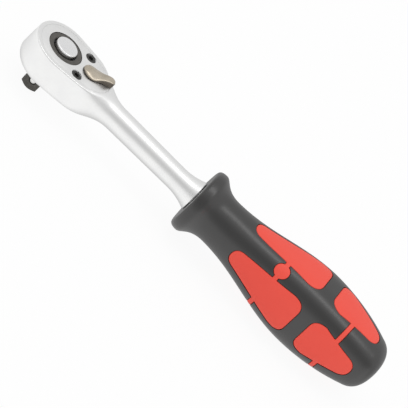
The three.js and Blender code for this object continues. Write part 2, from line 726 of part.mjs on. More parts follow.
function pawlPlunger() {
  const back = PLUNGER_REACH - PLUNGER_LENGTH;
  const nose = PLUNGER_RADIUS;
  const profile = [[0, back], [nose, back]];
  for (let i = 0; i <= EDGE_STEPS; i += 1) {
    const angle = (Math.PI / 2) * (i / EDGE_STEPS);
    profile.push([nose * Math.cos(angle), PLUNGER_REACH - nose + nose * Math.sin(angle)]);
  }
  return alongPlunger(turnedUpright(profile, 0, 0, TINY_SIDES));
}

function plungerSpring() {
  const low = -SPINDLE_RADIUS / 2 + MESH_GAP;
  const high = PLUNGER_REACH - PLUNGER_LENGTH - MESH_GAP;
  const mean = PLUNGER_RADIUS - PLUNGER_WIRE_RADIUS - MESH_GAP;
  const spring = coilSpring('pawl_plunger_spring', mean, PLUNGER_WIRE_RADIUS, low, high, PLUNGER_CURLS);
  return alongPlunger(spring);
}

function releaseSpring() {
  const mean = (BUTTON_HOLLOW_RADIUS + PIN_RADIUS) / 2;
  const low = springFloorZ + MESH_GAP;
  const high = springTopZ - MESH_GAP;
  return coilSpring('release_spring', mean, RELEASE_WIRE_RADIUS, low, high, RELEASE_CURLS);
}

function leverSealRing() {
  const tube = SEAL_THICKNESS / 2;
  const mean = SPINDLE_JOURNAL_RADIUS + SEAL_GAP + tube;
  const ring = new THREE.TorusGeometry(mean, tube, TINY_SIDES / 2, SMALL_SIDES);
  return solid(ring.translate(0, 0, headTopZ - tube - SEAL_GAP));
}

function leverClip() {
  const inner = SPINDLE_RADIUS - CLIP_GROOVE + MESH_GAP;
  return openRing(inner, inner + CLIP_WIDTH, CLIP_OPENING, clipBottomZ, clipTopZ);
}

function buttonRing() {
  const inner = BUTTON_RADIUS + RUN_GAP;
  const low = flangeTopZ + 2 * RUN_GAP;
  return openRing(inner, inner + BUTTON_RING_WIDTH, BUTTON_RING_OPENING, low, low + BUTTON_RING_THICKNESS);
}

// Handle outline: flange, round neck, full belly and domed end.
function handleProfile() {
  const { lerp } = THREE.MathUtils;
  const rise = (BELLY_X - NECK_X) * BELLY_RISE;
  const path = new THREE.Path();
  path.moveTo(HANDLE_FRONT_X, 0);
  path.lineTo(HANDLE_FRONT_X, HANDLE_FACE_RADIUS);
  path.quadraticCurveTo(HANDLE_FRONT_X, FLANGE_RADIUS, FLANGE_X, FLANGE_RADIUS);
  path.bezierCurveTo(
    lerp(FLANGE_X, NECK_X, FLANGE_ROUNDING), FLANGE_RADIUS,
    lerp(FLANGE_X, NECK_X, NECK_HOLLOW), NECK_RADIUS,
    NECK_X, NECK_RADIUS);
  path.bezierCurveTo(NECK_X + rise, NECK_RADIUS, BELLY_X - rise, BELLY_RADIUS, BELLY_X, BELLY_RADIUS);
  path.bezierCurveTo(
    lerp(BELLY_X, TAIL_X, BELLY_FALL), BELLY_RADIUS,
    lerp(TAIL_X, BELLY_X, TAIL_LEAD), lerp(TAIL_RADIUS, BELLY_RADIUS, TAIL_STEEPNESS),
    TAIL_X, TAIL_RADIUS);
  path.bezierCurveTo(
    lerp(TAIL_X, HANDLE_END_X, DOME_REACH), DOME_SHOULDER * TAIL_RADIUS,
    HANDLE_END_X, DOME_FLAT * TAIL_RADIUS,
    HANDLE_END_X, 0);
  return path.getPoints(HANDLE_CURVE_STEPS);
}

// How square the handle is at a place along it: round neck, squarest belly, rounder end.
function squareness(x) {
  const grown = THREE.MathUtils.smoothstep(x, SQUARE_FROM_X, SQUARE_FULL_X);
  const faded = THREE.MathUtils.smoothstep(x, SQUARE_FADE_X, HANDLE_END_X);
  return HANDLE_SQUARENESS * grown * (1 - (1 - SQUARE_AT_END) * faded);
}

// Handle solid, or the same form drawn in by a depth. Its corners lie between the four rows of pads.
function handleForm(depth) {
  const points = handleProfile().map((point) => new THREE.Vector2(point.x, Math.max(point.y - depth, 0)));
  const geometry = turnedAlong(points, HANDLE_SIDES);
  const place = geometry.getAttribute('position');
  for (let i = 0; i < place.count; i += 1) {
    const y = place.getY(i);
    const z = place.getZ(i) - shankZ;
    const lobe = squareness(place.getX(i));
    const scale = (1 - lobe * Math.cos(4 * Math.atan2(y, z))) / (1 + lobe);
    place.setXYZ(i, place.getX(i), y * scale, shankZ + z * scale);
  }
  return solid(geometry);
}

// Long pad from above: a rounded front that widens to a square rear end.
function longPadShape() {
  const span = LONG_PAD_REAR_X - LONG_PAD_FRONT_X;
  const path = new THREE.Path();
  path.moveTo(LONG_PAD_FRONT_X, 0);
  path.quadraticCurveTo(
    LONG_PAD_FRONT_X, PAD_TIP_FULLNESS * LONG_PAD_FRONT_HALF,
    LONG_PAD_FRONT_X + LONG_PAD_TIP * span, LONG_PAD_FRONT_HALF);
  path.lineTo(LONG_PAD_REAR_X - PAD_ROUNDING * span, LONG_PAD_REAR_HALF);
  path.quadraticCurveTo(
    LONG_PAD_REAR_X, PAD_CORNER_FULLNESS * LONG_PAD_REAR_HALF,
    LONG_PAD_REAR_X, LONG_PAD_REAR_HALF / 2);
  path.lineTo(LONG_PAD_REAR_X, 0);
  return mirroredShape(path, PAD_CURVE_STEPS);
}

// Short pad from above: a square front end, widest just behind it, and a rounded tip.
function shortPadShape() {
  const span = SHORT_PAD_REAR_X - SHORT_PAD_FRONT_X;
  const path = new THREE.Path();
  path.moveTo(SHORT_PAD_FRONT_X, 0);
  path.lineTo(SHORT_PAD_FRONT_X, SHORT_PAD_FRONT_HALF / 2);
  path.quadraticCurveTo(
    SHORT_PAD_FRONT_X, SHORT_PAD_FRONT_HALF,
    SHORT_PAD_FRONT_X + SHORT_PAD_FRONT_ROUNDING * span, SHORT_PAD_FRONT_HALF);
  path.lineTo(SHORT_PAD_REAR_X - PAD_ROUNDING * span, SHORT_PAD_REAR_HALF);
  path.quadraticCurveTo(SHORT_PAD_REAR_X, PAD_TIP_FULLNESS * SHORT_PAD_REAR_HALF, SHORT_PAD_REAR_X, 0);
  return mirroredShape(path, PAD_CURVE_STEPS);
}

// Four rows of one pad and the bridge round the handle that joins them, grown outwards by a margin.
function padRows(shape, bridgeX, margin) {
  const bridgeHalf = BRIDGE_WIDTH / 2 + margin;
  const row = prism(shape, INLAY_DEPTH, FAR, margin);
  const ring = new THREE.CylinderGeometry(FAR, FAR, 2 * bridgeHalf, PAD_ROWS).rotateZ(Math.PI / 2);
  let rows = solid(ring.translate(bridgeX, 0, 0));
  for (let i = 0; i < PAD_ROWS; i += 1) {
    rows = rows.add(row.rotate([(360 * i) / PAD_ROWS, 0, 0]));
  }
  return rows.translate(0, 0, shankZ);
}

function frontRows(margin) {
  const boss = drum(BOSS_RADIUS + margin, INLAY_DEPTH, FAR, FRONT_BRIDGE_X, 0, SMALL_SIDES);
  return padRows(longPadShape(), FRONT_BRIDGE_X, margin)
    .add(boss.rotate([BOSS_ANGLE_DEG, 0, 0]).translate(0, 0, shankZ));
}

function rearRows(margin) {
  return padRows(shortPadShape(), REAR_BRIDGE_X, margin);
}

function inlay(rows) {
  return rows(0).intersect(handleForm(0)).subtract(handleForm(INLAY_DEPTH));
}

function handleCore() {
  const rows = frontRows(INLAY_GAP).add(rearRows(INLAY_GAP));
  const pockets = rows.subtract(handleForm(INLAY_DEPTH + INLAY_GAP));
  return cut(handleForm(0), pockets, tang(HANDLE_FRONT_X - FACE_GAP, RUN_GAP));
}

const SATIN_CHROME = { color: 0xd6d6d8, roughness: 0.28, metalness: 1 };
const BRIGHT_CHROME = { color: 0xe6e6e8, roughness: 0.14, metalness: 1 };
const BLACK_PHOSPHATE = { color: 0x45423f, roughness: 0.5, metalness: 0.7 };
const WARM_NICKEL = { color: 0xa89f8f, roughness: 0.36, metalness: 1 };
const BRIGHT_STEEL = { color: 0xc4c4c2, roughness: 0.25, metalness: 1 };
const SPRING_STEEL = { color: 0x8d8f92, roughness: 0.3, metalness: 1 };
const BLACK_PLASTIC = { color: 0x2b2b2d, roughness: 0.5, metalness: 0 };
const RED_RUBBER = { color: 0xd83a2e, roughness: 0.62, metalness: 0 };
const BLACK_RUBBER = { color: 0x1b1b1c, roughness: 0.7, metalness: 0 };

function piece(name, body, finish) {
  const { vertProperties, triVerts } = body.getMesh();
  const geometry = new THREE.BufferGeometry();
  geometry.setAttribute('position', new THREE.BufferAttribute(vertProperties, 3));
  geometry.setIndex(new THREE.BufferAttribute(triVerts, 1));
  geometry.computeVertexNormals();
  const mesh = new THREE.Mesh(geometry, new THREE.MeshStandardMaterial(finish));
  mesh.name = name;
  return mesh;
}

const group = new THREE.Group();
group.add(
  piece('ratchet_body', ratchetBody(), SATIN_CHROME),
  piece('cover_plate', coverPlate(), SATIN_CHROME),
  piece('drive_gear', driveGear(), BLACK_PHOSPHATE),
  piece('gear_thrust_washer', thrustWasher(), SPRING_STEEL),
  piece('release_button', releaseButton(), BRIGHT_CHROME),
  piece('release_pin', releasePin(), BRIGHT_STEEL),
  piece('release_spring', releaseSpring(), SPRING_STEEL),
  piece('button_retaining_ring', buttonRing(), SPRING_STEEL),
  piece('detent_ball', detentBall(), BRIGHT_STEEL),
  piece('pawl', pawl(), BRIGHT_STEEL),
  piece('handle_core', handleCore(), BLACK_PLASTIC),
  piece('grip_inlay_front', inlay(frontRows), RED_RUBBER),
  piece('grip_inlay_rear', inlay(rearRows), RED_RUBBER),
);
for (const [side, y] of Object.entries(screwPlaces())) {
  group.add(piece(`cover_screw_${side}`, coverScrew(y), BLACK_PHOSPHATE));
}

const lever = new THREE.Group();
lever.position.set(leverX, 0, 0);
lever.rotation.z = radians(LEVER_THROW_DEG);
lever.add(
  piece('reversing_lever', reversingLever(), WARM_NICKEL),
  piece('pawl_plunger', pawlPlunger(), BRIGHT_STEEL),
  piece('pawl_plunger_spring', plungerSpring(), SPRING_STEEL),
  piece('lever_retaining_clip', leverClip(), SPRING_STEEL),
  piece('lever_seal_ring', leverSealRing(), BLACK_RUBBER),
);
group.add(lever);

export default group;
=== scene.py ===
"""Looks of a reversible ratchet with a quarter inch square drive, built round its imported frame.

Shapes are modelled in millimetres in the frame of the part, and brought to metres when a piece is finished.
The origin is the middle of the square's end, +Z runs up the drive axis and +X along the shank to the handle.
"""

from __future__ import annotations

import logging
import math
from collections.abc import Callable, Sequence
from dataclasses import dataclass, field, replace
from enum import Enum

import bmesh
import bpy
from mathutils import Matrix, Vector

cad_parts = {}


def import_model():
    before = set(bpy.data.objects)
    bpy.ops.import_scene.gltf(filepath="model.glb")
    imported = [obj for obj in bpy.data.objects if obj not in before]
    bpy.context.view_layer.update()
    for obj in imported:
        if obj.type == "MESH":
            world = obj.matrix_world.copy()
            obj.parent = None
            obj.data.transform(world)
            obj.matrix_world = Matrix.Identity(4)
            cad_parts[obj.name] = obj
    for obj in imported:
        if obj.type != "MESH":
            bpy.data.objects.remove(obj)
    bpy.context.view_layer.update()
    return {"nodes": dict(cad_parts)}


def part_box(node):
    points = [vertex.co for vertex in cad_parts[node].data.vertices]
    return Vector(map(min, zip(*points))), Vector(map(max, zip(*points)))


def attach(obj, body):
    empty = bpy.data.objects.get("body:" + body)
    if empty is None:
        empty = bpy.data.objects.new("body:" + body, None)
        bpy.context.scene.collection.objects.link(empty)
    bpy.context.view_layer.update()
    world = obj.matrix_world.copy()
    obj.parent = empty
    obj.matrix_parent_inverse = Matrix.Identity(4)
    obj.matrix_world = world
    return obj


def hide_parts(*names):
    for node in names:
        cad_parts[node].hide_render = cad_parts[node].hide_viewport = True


LOG = logging.getLogger("ratchet")
MM = 0.001
WELD_MM = 1e-4
SHORT_MM = 5e-4
SHARP_DEG = 32.0
QUAD = 4
BEND_PULL = 2 / 3
# Attribute of how far each point of the lever faces up, which sets its painted flank shade.
UP_FACING = "up_facing"
FULL_TURN = 2 * math.pi
RIGHT_ANGLE = math.pi / 2
CORNER = math.pi / 4
NOISE_MIDDLE = 0.5
WHITE = (1.0, 1.0, 1.0, 1.0)
MIX_SHARE, MIX_FIRST, MIX_SECOND, MIX_COLOUR = 0, 6, 7, 2
SRGB_TOP, SRGB_TOE, SRGB_SLOPE, SRGB_LIFT, SRGB_POWER = 255, 0.04045, 12.92, 0.055, 2.4

Point = tuple[float, float]
Colour = tuple[float, float, float, float]
Inputs = dict[int | str, object]


class Cut(Enum):
    """How two closed shapes are combined."""

    JOIN = "UNION"
    TAKE = "DIFFERENCE"
    KEEP = "INTERSECT"


class Axis(Enum):
    """Axes that a profile is turned about."""

    DRIVE = Vector((0.0, 0.0, 1.0))
    SHANK = Vector((1.0, 0.0, 0.0))


class Inlay(Enum):
    """The two red mouldings of the handle."""

    FRONT = "red_inlay_front"
    REAR = "red_inlay_rear"


class Ray(Enum):
    """Kinds of ray that a surface can answer to."""

    CAMERA = "Is Camera Ray"
    GLOSSY = "Is Glossy Ray"
    THROUGH = "Is Transmission Ray"


def smooth_step(low: float, high: float, value: float) -> float:
    """Returns a share that eases from 0 at low to 1 at high."""
    share = min(max((value - low) / (high - low), 0.0), 1.0)
    return share * share * (3 - 2 * share)


def mix(start: float, end: float, share: float) -> float:
    """Returns the number that lies at a share of the way from start to end."""
    return start + (end - start) * share


def soft_min(first: float, second: float, blend: float) -> float:
    """Returns the lesser of two lengths, rounded over where they differ by less than blend."""
    share = min(max((1 + (second - first) / blend) / 2, 0.0), 1.0)
    return mix(second, first, share) - blend * share * (1 - share)


def rounded(radius: float, inset: float) -> float:
    """Returns how far a rounded edge has fallen at a distance in from its rim."""
    bare = max(radius - inset, 0.0)
    return radius - math.sqrt(max(radius * radius - bare * bare, 0.0))


def read_off(points: Sequence[Vector], x: float) -> float:
    """Reads the second coordinate of a drawn line at a first coordinate.

    Args:
        points: Points of the line.
        x: The first coordinate.

    Returns:
        The second coordinate, or 0 where the line isn't drawn.
    """
    for first, second in zip(points, points[1:]):
        if first.x <= x <= second.x and second.x > first.x:
            return mix(first.y, second.y, (x - first.x) / (second.x - first.x))
    return 0.0


def distance_to(border: Sequence[Vector], spot: Vector) -> float:
    """Measures how far a point lies from a drawn border.

    Args:
        border: Points of the border.
        spot: The point.

    Returns:
        The least distance.
    """
    least = math.inf
    for first, second in zip(border, border[1:]):
        span = second - first
        share = (spot - first).dot(span) / span.length_squared if span.length > 0 else 0.0
        least = min(least, (first + span * min(max(share, 0.0), 1.0) - spot).length)
    return least


class Outline:
    """A drawn line of straight and curved stretches, in millimetres."""

    def __init__(self, x: float, y: float) -> None:
        """Starts the line at a point."""
        self.points = [Vector((x, y))]

    def line(self, x: float, y: float, steps: int = 1) -> Outline:
        """Draws a straight stretch.

        Args:
            x: First coordinate of its end.
            y: Second coordinate of its end.
            steps: Number of steps.

        Returns:
            This line.
        """
        start = self.points[-1]
        self.points += [start.lerp(Vector((x, y)), (i + 1) / steps) for i in range(steps)]
        return self

    def path(self, *corners: Point) -> Outline:
        """Draws straight stretches.

        Args:
            corners: The corners that they run to, in turn.

        Returns:
            This line.
        """
        for x, y in corners:
            self.line(x, y)
        return self

    def bend(self, via: Point, end: Point, steps: int) -> Outline:
        """Draws a curve that is pulled towards one point.

        Args:
            via: The point that pulls it.
            end: Its end.
            steps: Number of steps.

        Returns:
            This line.
        """
        pull = Vector(via)
        start = self.points[-1].lerp(pull, BEND_PULL)
        return self.curve(start, Vector(end).lerp(pull, BEND_PULL), end, steps)

    def curve(self, via: Point | Vector, then: Point | Vector, end: Point, steps: int) -> Outline:
        """Draws a curve that is pulled towards two points.

        Args:
            via: The point that pulls its start.
            then: The point that pulls its end.
            end: Its end.
            steps: Number of steps.

        Returns:
            This line.
        """
        start, first, second, stop = self.points[-1], Vector(via), Vector(then), Vector(end)
        for i in range(1, steps + 1):
            share = i / steps
            left = 1 - share
            pulled = left**3 * start + 3 * left * left * share * first
            self.points.append(pulled + 3 * left * share * share * second + share**3 * stop)
        return self

    def arc(self, centre: Point, angle: float, steps: int) -> Outline:
        """Draws an arc.

        Args:
            centre: Its centre.
            angle: Its angle, positive to the left.
            steps: Number of steps.

        Returns:
            This line.
        """
        middle = Vector(centre)
        arm = self.points[-1] - middle
        for i in range(1, steps + 1):
            self.points.append(middle + Matrix.Rotation(angle * i / steps, 2) @ arm)
        return self


class Blank:
    """One shape on the bench, in millimetres."""

    def __init__(self) -> None:
        """Starts with nothing."""
        self.bm = bmesh.new()

    @classmethod
    def turned(cls, profile: Sequence[Point | Vector], steps: int, axis: Axis = Axis.DRIVE) -> Blank:
        """Turns a profile about an axis through the origin.

        Args:
            profile: Radius and height of each point, from the axis round the outside and back.
            steps: Steps of the full turn.
            axis: The axis of the turn.

        Returns:
            The turned shape.
        """
        blank = cls()
        along = axis.value
        out = (Axis.SHANK if axis is Axis.DRIVE else Axis.DRIVE).value
        verts = [blank.bm.verts.new(out * radius + along * height) for radius, height in profile]
        edges = [blank.bm.edges.new(pair) for pair in zip(verts, verts[1:])]
        turn = {"cent": (0, 0, 0), "axis": along, "angle": FULL_TURN, "steps": steps, "use_merge": True}
        bmesh.ops.spin(blank.bm, geom=verts + edges, **turn)
        return blank.cleaned()

    @classmethod
    def drum(cls, radius: float, low: float, high: float, steps: int, axis: Axis = Axis.DRIVE) -> Blank:
        """Turns a plain drum, which serves as a cutter."""
        return cls.turned([(0, low), (radius, low), (radius, high), (0, high)], steps, axis)

    @classmethod
    def prism(
        cls, outline: Sequence[Vector], low: float, high: float, edge: float = 0.0, rounds: int = 1
    ) -> Blank:
        """Raises a plan outline to an upright prism.

        Args:
            outline: Points of the closed plan.
            low: Height of the bottom.
            high: Height of the top.
            edge: Size of the eased top edge.
            rounds: Steps of the eased edge.

        Returns:
            The prism.
        """
        blank = cls()
        verts = [blank.bm.verts.new((point.x, point.y, low)) for point in outline]
        face = bmesh.ops.contextual_create(blank.bm, geom=verts)["faces"][0]
        raised = bmesh.ops.extrude_face_region(blank.bm, geom=[face])["geom"]
        top = [item for item in raised if isinstance(item, bmesh.types.BMVert)]
        bmesh.ops.translate(blank.bm, verts=top, vec=(0, 0, high - low))
        if edge:
            blank.eased([item for item in raised if isinstance(item, bmesh.types.BMEdge)], edge, rounds)
        return blank.cleaned()

    @classmethod
    def sheet(cls, rows: int, columns: int, place: Callable[[int, int], Vector]) -> Blank:
        """Lays an open grid, and moves each of its points to a place.

        Args:
            rows: Number of points along the grid.
            columns: Number of points across it.
            place: Gives the point for a row and a column.

        Returns:
            The open sheet.
        """
        blank = cls()
        half = 0.5
        made = bmesh.ops.create_grid(blank.bm, x_segments=columns - 1, y_segments=rows - 1, size=half)
        for vert in made["verts"]:
            row = round((vert.co.y + half) * (rows - 1))
            column = round((vert.co.x + half) * (columns - 1))
            vert.co = place(row, column)
        return blank

    def eased(self, edges: list[bmesh.types.BMEdge], size: float, rounds: int) -> None:
        """Rounds edges over by a size, in a number of steps."""
        shape = {"affect": "EDGES", "segments": rounds, "profile": 0.5, "material": -1}
        bmesh.ops.bevel(self.bm, geom=edges, offset=size, **shape)

    def cleaned(self) -> Blank:
        """Merges points that fall together and turns all faces outwards.

        Returns:
            This blank.
        """
        bmesh.ops.remove_doubles(self.bm, verts=self.bm.verts, dist=WELD_MM)
        bmesh.ops.dissolve_degenerate(self.bm, edges=self.bm.edges, dist=WELD_MM)
        bmesh.ops.recalc_face_normals(self.bm, faces=self.bm.faces)
        return self

    def mirrored(self) -> Blank:
        """Adds the mirror image across the plane of the drive axis and the shank.

        Returns:
            This blank, with both halves.
        """
        geom = list(self.bm.verts) + list(self.bm.edges) + list(self.bm.faces)
        bmesh.ops.mirror(self.bm, geom=geom, axis="Y", merge_dist=WELD_MM)
        return self.cleaned()

    def thickened(self, drop: Callable[[Vector], Vector]) -> Blank:
        """Closes an open sheet with an underside and walls.

        Args:
            drop: Gives the point of the underside below a point of the sheet.

        Returns:
            This blank, closed.
        """
        bmesh.ops.remove_doubles(self.bm, verts=self.bm.verts, dist=WELD_MM)
        made = bmesh.ops.extrude_face_region(self.bm, geom=list(self.bm.faces))["geom"]
        for item in made:
            if isinstance(item, bmesh.types.BMVert):
                item.co = drop(item.co)
        return self.cleaned()

    def moved(self, matrix: Matrix) -> Blank:
        """Turns or shifts the shape by a matrix."""
        bmesh.ops.transform(self.bm, matrix=matrix, verts=self.bm.verts)
        return self

    def at(self, x: float, y: float, z: float = 0.0) -> Blank:
        """Shifts the shape."""
        return self.moved(Matrix.Translation((x, y, z)))

    def bench_object(self, name: str) -> bpy.types.Object:
        """Puts the shape into an object of the scene and empties the bench.

        Args:
            name: Name of the object.

        Returns:
            The object.
        """
        mesh = bpy.data.meshes.new(name)
        self.bm.to_mesh(mesh)
        self.bm.free()
        return in_scene(name, mesh)

    def combined(self, mode: Cut, *tools: Blank) -> Blank:
        """Joins, cuts or keeps what this shape shares with others.

        Args:
            mode: How they are combined.
            tools: The other shapes, which are used up.

        Returns:
            This blank, with the new shape.
        """
        base = self.bench_object("bench_base")
        used = [tool.bench_object("bench_tool") for tool in tools]
        for tool in used:
            modifier = base.modifiers.new("bench", "BOOLEAN")
            modifier.operation = mode.value
            modifier.solver = "MANIFOLD"
            modifier.object = tool
        graph = bpy.context.evaluated_depsgraph_get()
        self.bm = bmesh.new()
        self.bm.from_mesh(base.evaluated_get(graph).to_mesh())
        for item in [base, *used]:
            old = item.data
            bpy.data.objects.remove(item)
            bpy.data.meshes.remove(old)
        return self

    def cut(self, *tools: Blank) -> Blank:
        """Takes other shapes out of this one."""
        return self.combined(Cut.TAKE, *tools)

    def joined(self, *tools: Blank) -> Blank:
        """Joins other shapes to this one."""
        return self.combined(Cut.JOIN, *tools)

    def finished(self, name: str) -> bpy.types.Object:
        """Brings the shape to metres, shades it and makes it a piece.

        Args:
            name: Name of the piece.

        Returns:
            The new object.
        """
        bmesh.ops.dissolve_degenerate(self.bm, edges=self.bm.edges, dist=SHORT_MM)
        many_sided = [face for face in self.bm.faces if len(face.verts) > QUAD]
        bmesh.ops.triangulate(self.bm, faces=many_sided)
        bmesh.ops.scale(self.bm, vec=(MM, MM, MM), verts=self.bm.verts)
        limit = math.radians(SHARP_DEG)
        for face in self.bm.faces:
            face.smooth = True
        for edge in self.bm.edges:
            edge.smooth = len(edge.link_faces) == 2 and edge.calc_face_angle(0.0) < limit
        return self.bench_object(name)


def in_scene(name: str, data: bpy.types.ID) -> bpy.types.Object:
    """Puts a mesh, a lamp or a camera into the scene.

    Args:
        name: Name of the object.
        data: What it shows.

    Returns:
        The object.
    """
    shown = bpy.data.objects.new(name, data)
    bpy.context.scene.collection.objects.link(shown)
    return shown


class Value:
    """A socket's value, which takes part in arithmetic."""

    def __init__(self, shader: Shader, socket: bpy.types.NodeSocket | None) -> None:
        """Wraps an output socket of a shader."""
        self.shader = shader
        self.socket = socket

    def _math(self, operation: str, first: object, second: object) -> Value:
        """Adds one Math node on two values."""
        return self.shader.node("ShaderNodeMath", {"operation": operation}, {0: first, 1: second})

    def __add__(self, other: object) -> Value:
        """Returns this value plus another."""
        return self._math("ADD", self, other)

    def __sub__(self, other: object) -> Value:
        """Returns this value less another."""
        return self._math("SUBTRACT", self, other)

    def __rsub__(self, other: object) -> Value:
        """Returns another value less this one."""
        return self._math("SUBTRACT", other, self)

    def __mul__(self, other: object) -> Value:
        """Returns this value times another."""
        return self._math("MULTIPLY", self, other)

    def __truediv__(self, other: object) -> Value:
        """Returns this value divided by another."""
        return self._math("DIVIDE", self, other)

    def __rtruediv__(self, other: object) -> Value:
        """Returns another value divided by this one."""
        return self._math("DIVIDE", other, self)

    __radd__ = __add__
    __rmul__ = __mul__


class Shader:
    """One node tree, written as expressions."""

    def __init__(self, tree: bpy.types.NodeTree) -> None:
        """Starts an empty tree."""
        self.tree = tree
        tree.nodes.clear()

    def node(
        self,
        kind: str,
        settings: dict[str, object] | None = None,
        inputs: Inputs | None = None,
        output: int | str = 0,
    ) -> Value:
        """Adds a node.

        Args:
            kind: The node's type.
            settings: Its own settings, with the stops of a ramp as pairs of place and colour.
            inputs: Values or links of its sockets.
            output: The socket that is handed back.

        Returns:
            The value of that socket.
        """
        made = self.tree.nodes.new(kind)
        for key, value in (settings or {}).items():
            if key == "stops":
                self._set_stops(made.color_ramp, value)
            else:
                setattr(made, key, value)
        for key, value in (inputs or {}).items():
            if isinstance(value, Value):
                self.tree.links.new(value.socket, made.inputs[key])
            else:
                made.inputs[key].default_value = value
        return Value(self, made.outputs[output] if made.outputs else None)

    @staticmethod
    def _set_stops(ramp: bpy.types.ColorRamp, stops: Sequence[tuple[float, Colour]]) -> None:
        """Gives a ramp its stops.

        Args:
            ramp: The ramp.
            stops: Pairs of place and colour.
        """
        while len(ramp.elements) < len(stops):
            ramp.elements.new(1.0)
        for element, (place, colour) in zip(ramp.elements, stops):
            element.position = place
            element.color = colour

    def here(self) -> Value:
        """Returns the place on the piece, in metres."""
        return self.node("ShaderNodeTexCoord", output="Object")

    def stretched(self, scale: tuple[float, float, float]) -> Value:
        """Returns the place on the piece, scaled along each axis."""
        return self.node("ShaderNodeVectorMath", {"operation": "MULTIPLY"}, {0: self.here(), 1: scale})

    def part(self, vector: Value, letter: str) -> Value:
        """Returns one coordinate of a vector, by its letter."""
        return self.node("ShaderNodeSeparateXYZ", {}, {0: vector}, letter)

    def ray(self, kind: Ray) -> Value:
        """Returns 1 for rays of a kind and 0 for others."""
        return self.node("ShaderNodeLightPath", output=kind.value)

    def noise(self, scale: float, layers: float, at: Value | None = None, rough: float = 0.5) -> Value:
        """Returns smooth noise, with a number of finer layers."""
        inputs = {"Vector": at or self.here(), "Scale": scale, "Detail": layers, "Roughness": rough}
        return self.node("ShaderNodeTexNoise", {}, inputs, "Fac")

    def grains(self, scale: float) -> Value:
        """Returns the distance to the nearest of a set of scattered points."""
        return self.node("ShaderNodeTexVoronoi", {}, {"Vector": self.here(), "Scale": scale}, "Distance")

    def between(self, value: Value, span: Point, to_low: float = 0.0, to_high: float = 1.0) -> Value:
        """Returns a value brought from one span to another, and held inside it.

        Args:
            value: The value.
            span: Low and high end of its own span.
            to_low: What the low end becomes.
            to_high: What the high end becomes.

        Returns:
            The new value.
        """
        low, high = span
        inputs = {"Value": value, "From Min": low, "From Max": high, "To Min": to_low, "To Max": to_high}
        return self.node("ShaderNodeMapRange", {"clamp": True}, inputs, "Result")

    def blend(self, share: Value, first: Value | Colour, second: Value | Colour) -> Value:
        """Returns a colour that lies between two others."""
        inputs = {MIX_SHARE: share, MIX_FIRST: first, MIX_SECOND: second}
        return self.node("ShaderNodeMix", {"data_type": "RGBA"}, inputs, MIX_COLOUR)

    def bump(self, height: Value, strength: float, depth: float) -> Value:
        """Returns a normal that follows a height, in metres of depth."""
        inputs = {"Height": height, "Strength": strength, "Distance": depth}
        return self.node("ShaderNodeBump", {}, inputs, "Normal")

    def chosen(self, share: Value, first: Value, second: Value) -> Value:
        """Returns a surface that lies between two others."""
        return self.node("ShaderNodeMixShader", {}, {0: share, 1: first, 2: second}, "Shader")


def srgb(red: int, green: int, blue: int) -> Colour:
    """Returns a colour seen on a screen as the linear colour of a surface.

    Args:
        red: Red, from 0 to 255.
        green: Green, from 0 to 255.
        blue: Blue, from 0 to 255.

    Returns:
        The linear colour, with full alpha.
    """

    def linear(part: int) -> float:
        """Brings one part of a colour to the linear scale.

        Args:
            part: Red, green or blue, from 0 to 255.

        Returns:
            The linear part, from 0 to 1.
        """
        share = part / SRGB_TOP
        if share <= SRGB_TOE:
            return share / SRGB_SLOPE
        return ((share + SRGB_LIFT) / (1 + SRGB_LIFT)) ** SRGB_POWER

    return linear(red), linear(green), linear(blue), 1.0


@dataclass(frozen=True, kw_only=True)
class Finish:
    """What all finishes share: a slot, a name where two have the same slot, two colours and a gloss."""

    slot: str
    name: str = ""
    colour: Colour
    other: Colour
    roughness: float

    def material(self) -> bpy.types.Material:
        """Makes the material, the first time that it is asked for.

        Returns:
            The material of this finish.
        """
        title = f"{self.name or self.slot}_finish"
        found = bpy.data.materials.get(title)
        if found:
            return found
        made = bpy.data.materials.new(title)
        made.use_nodes = True
        shader = Shader(made.node_tree)
        surface = shader.node("ShaderNodeBsdfPrincipled", {}, self.surface(shader), "BSDF")
        shader.node("ShaderNodeOutputMaterial", {}, {"Surface": surface})
        return made

    def surface(self, shader: Shader) -> Inputs:
        """Returns the values and links of the principled surface, which each finish writes for itself."""
        raise NotImplementedError


@dataclass(frozen=True, kw_only=True)
class PlatedSteel(Finish):
    """Plated steel: bright metal with a soft polish, faint clouding and fine polishing marks."""

    spread: float
    cloud_scale: float = 160.0
    cloud_layers: float = 3.0
    cloud_span: Point = (0.4, 0.9)
    mark_scale: tuple[float, float, float] = (250.0, 2600.0, 2600.0)
    mark_layers: float = 2.0
    mark_gloss: float = 0.6
    mark_colour: float = 0.25
    mark_strength: float = 0.25
    mark_depth: float = 2e-6
    pit_scale: float = 900.0
    pit_span: Point = (0.0, 0.12)
    pit_share: float = 0.3

    def surface(self, shader: Shader) -> Inputs:
        """Returns metal whose polish varies a little.

        Args:
            shader: The tree that it is written in.

        Returns:
            Values and links of the principled surface.
        """
        clouds = shader.noise(self.cloud_scale, self.cloud_layers)
        marks = shader.noise(1.0, self.mark_layers, shader.stretched(self.mark_scale))
        pits = shader.between(shader.grains(self.pit_scale), self.pit_span, 1.0, 0.0)
        clouded = self.spread * (clouds - NOISE_MIDDLE)
        uneven = clouded + self.spread * self.mark_gloss * (marks - NOISE_MIDDLE)
        share = shader.between(clouds + self.mark_colour * marks, self.cloud_span)
        return {
            "Base Color": shader.blend(share, self.colour, self.other),
            "Roughness": self.roughness + uneven,
            "Metallic": 1.0,
            "Normal": shader.bump(marks - self.pit_share * pits, self.mark_strength, self.mark_depth),
        }


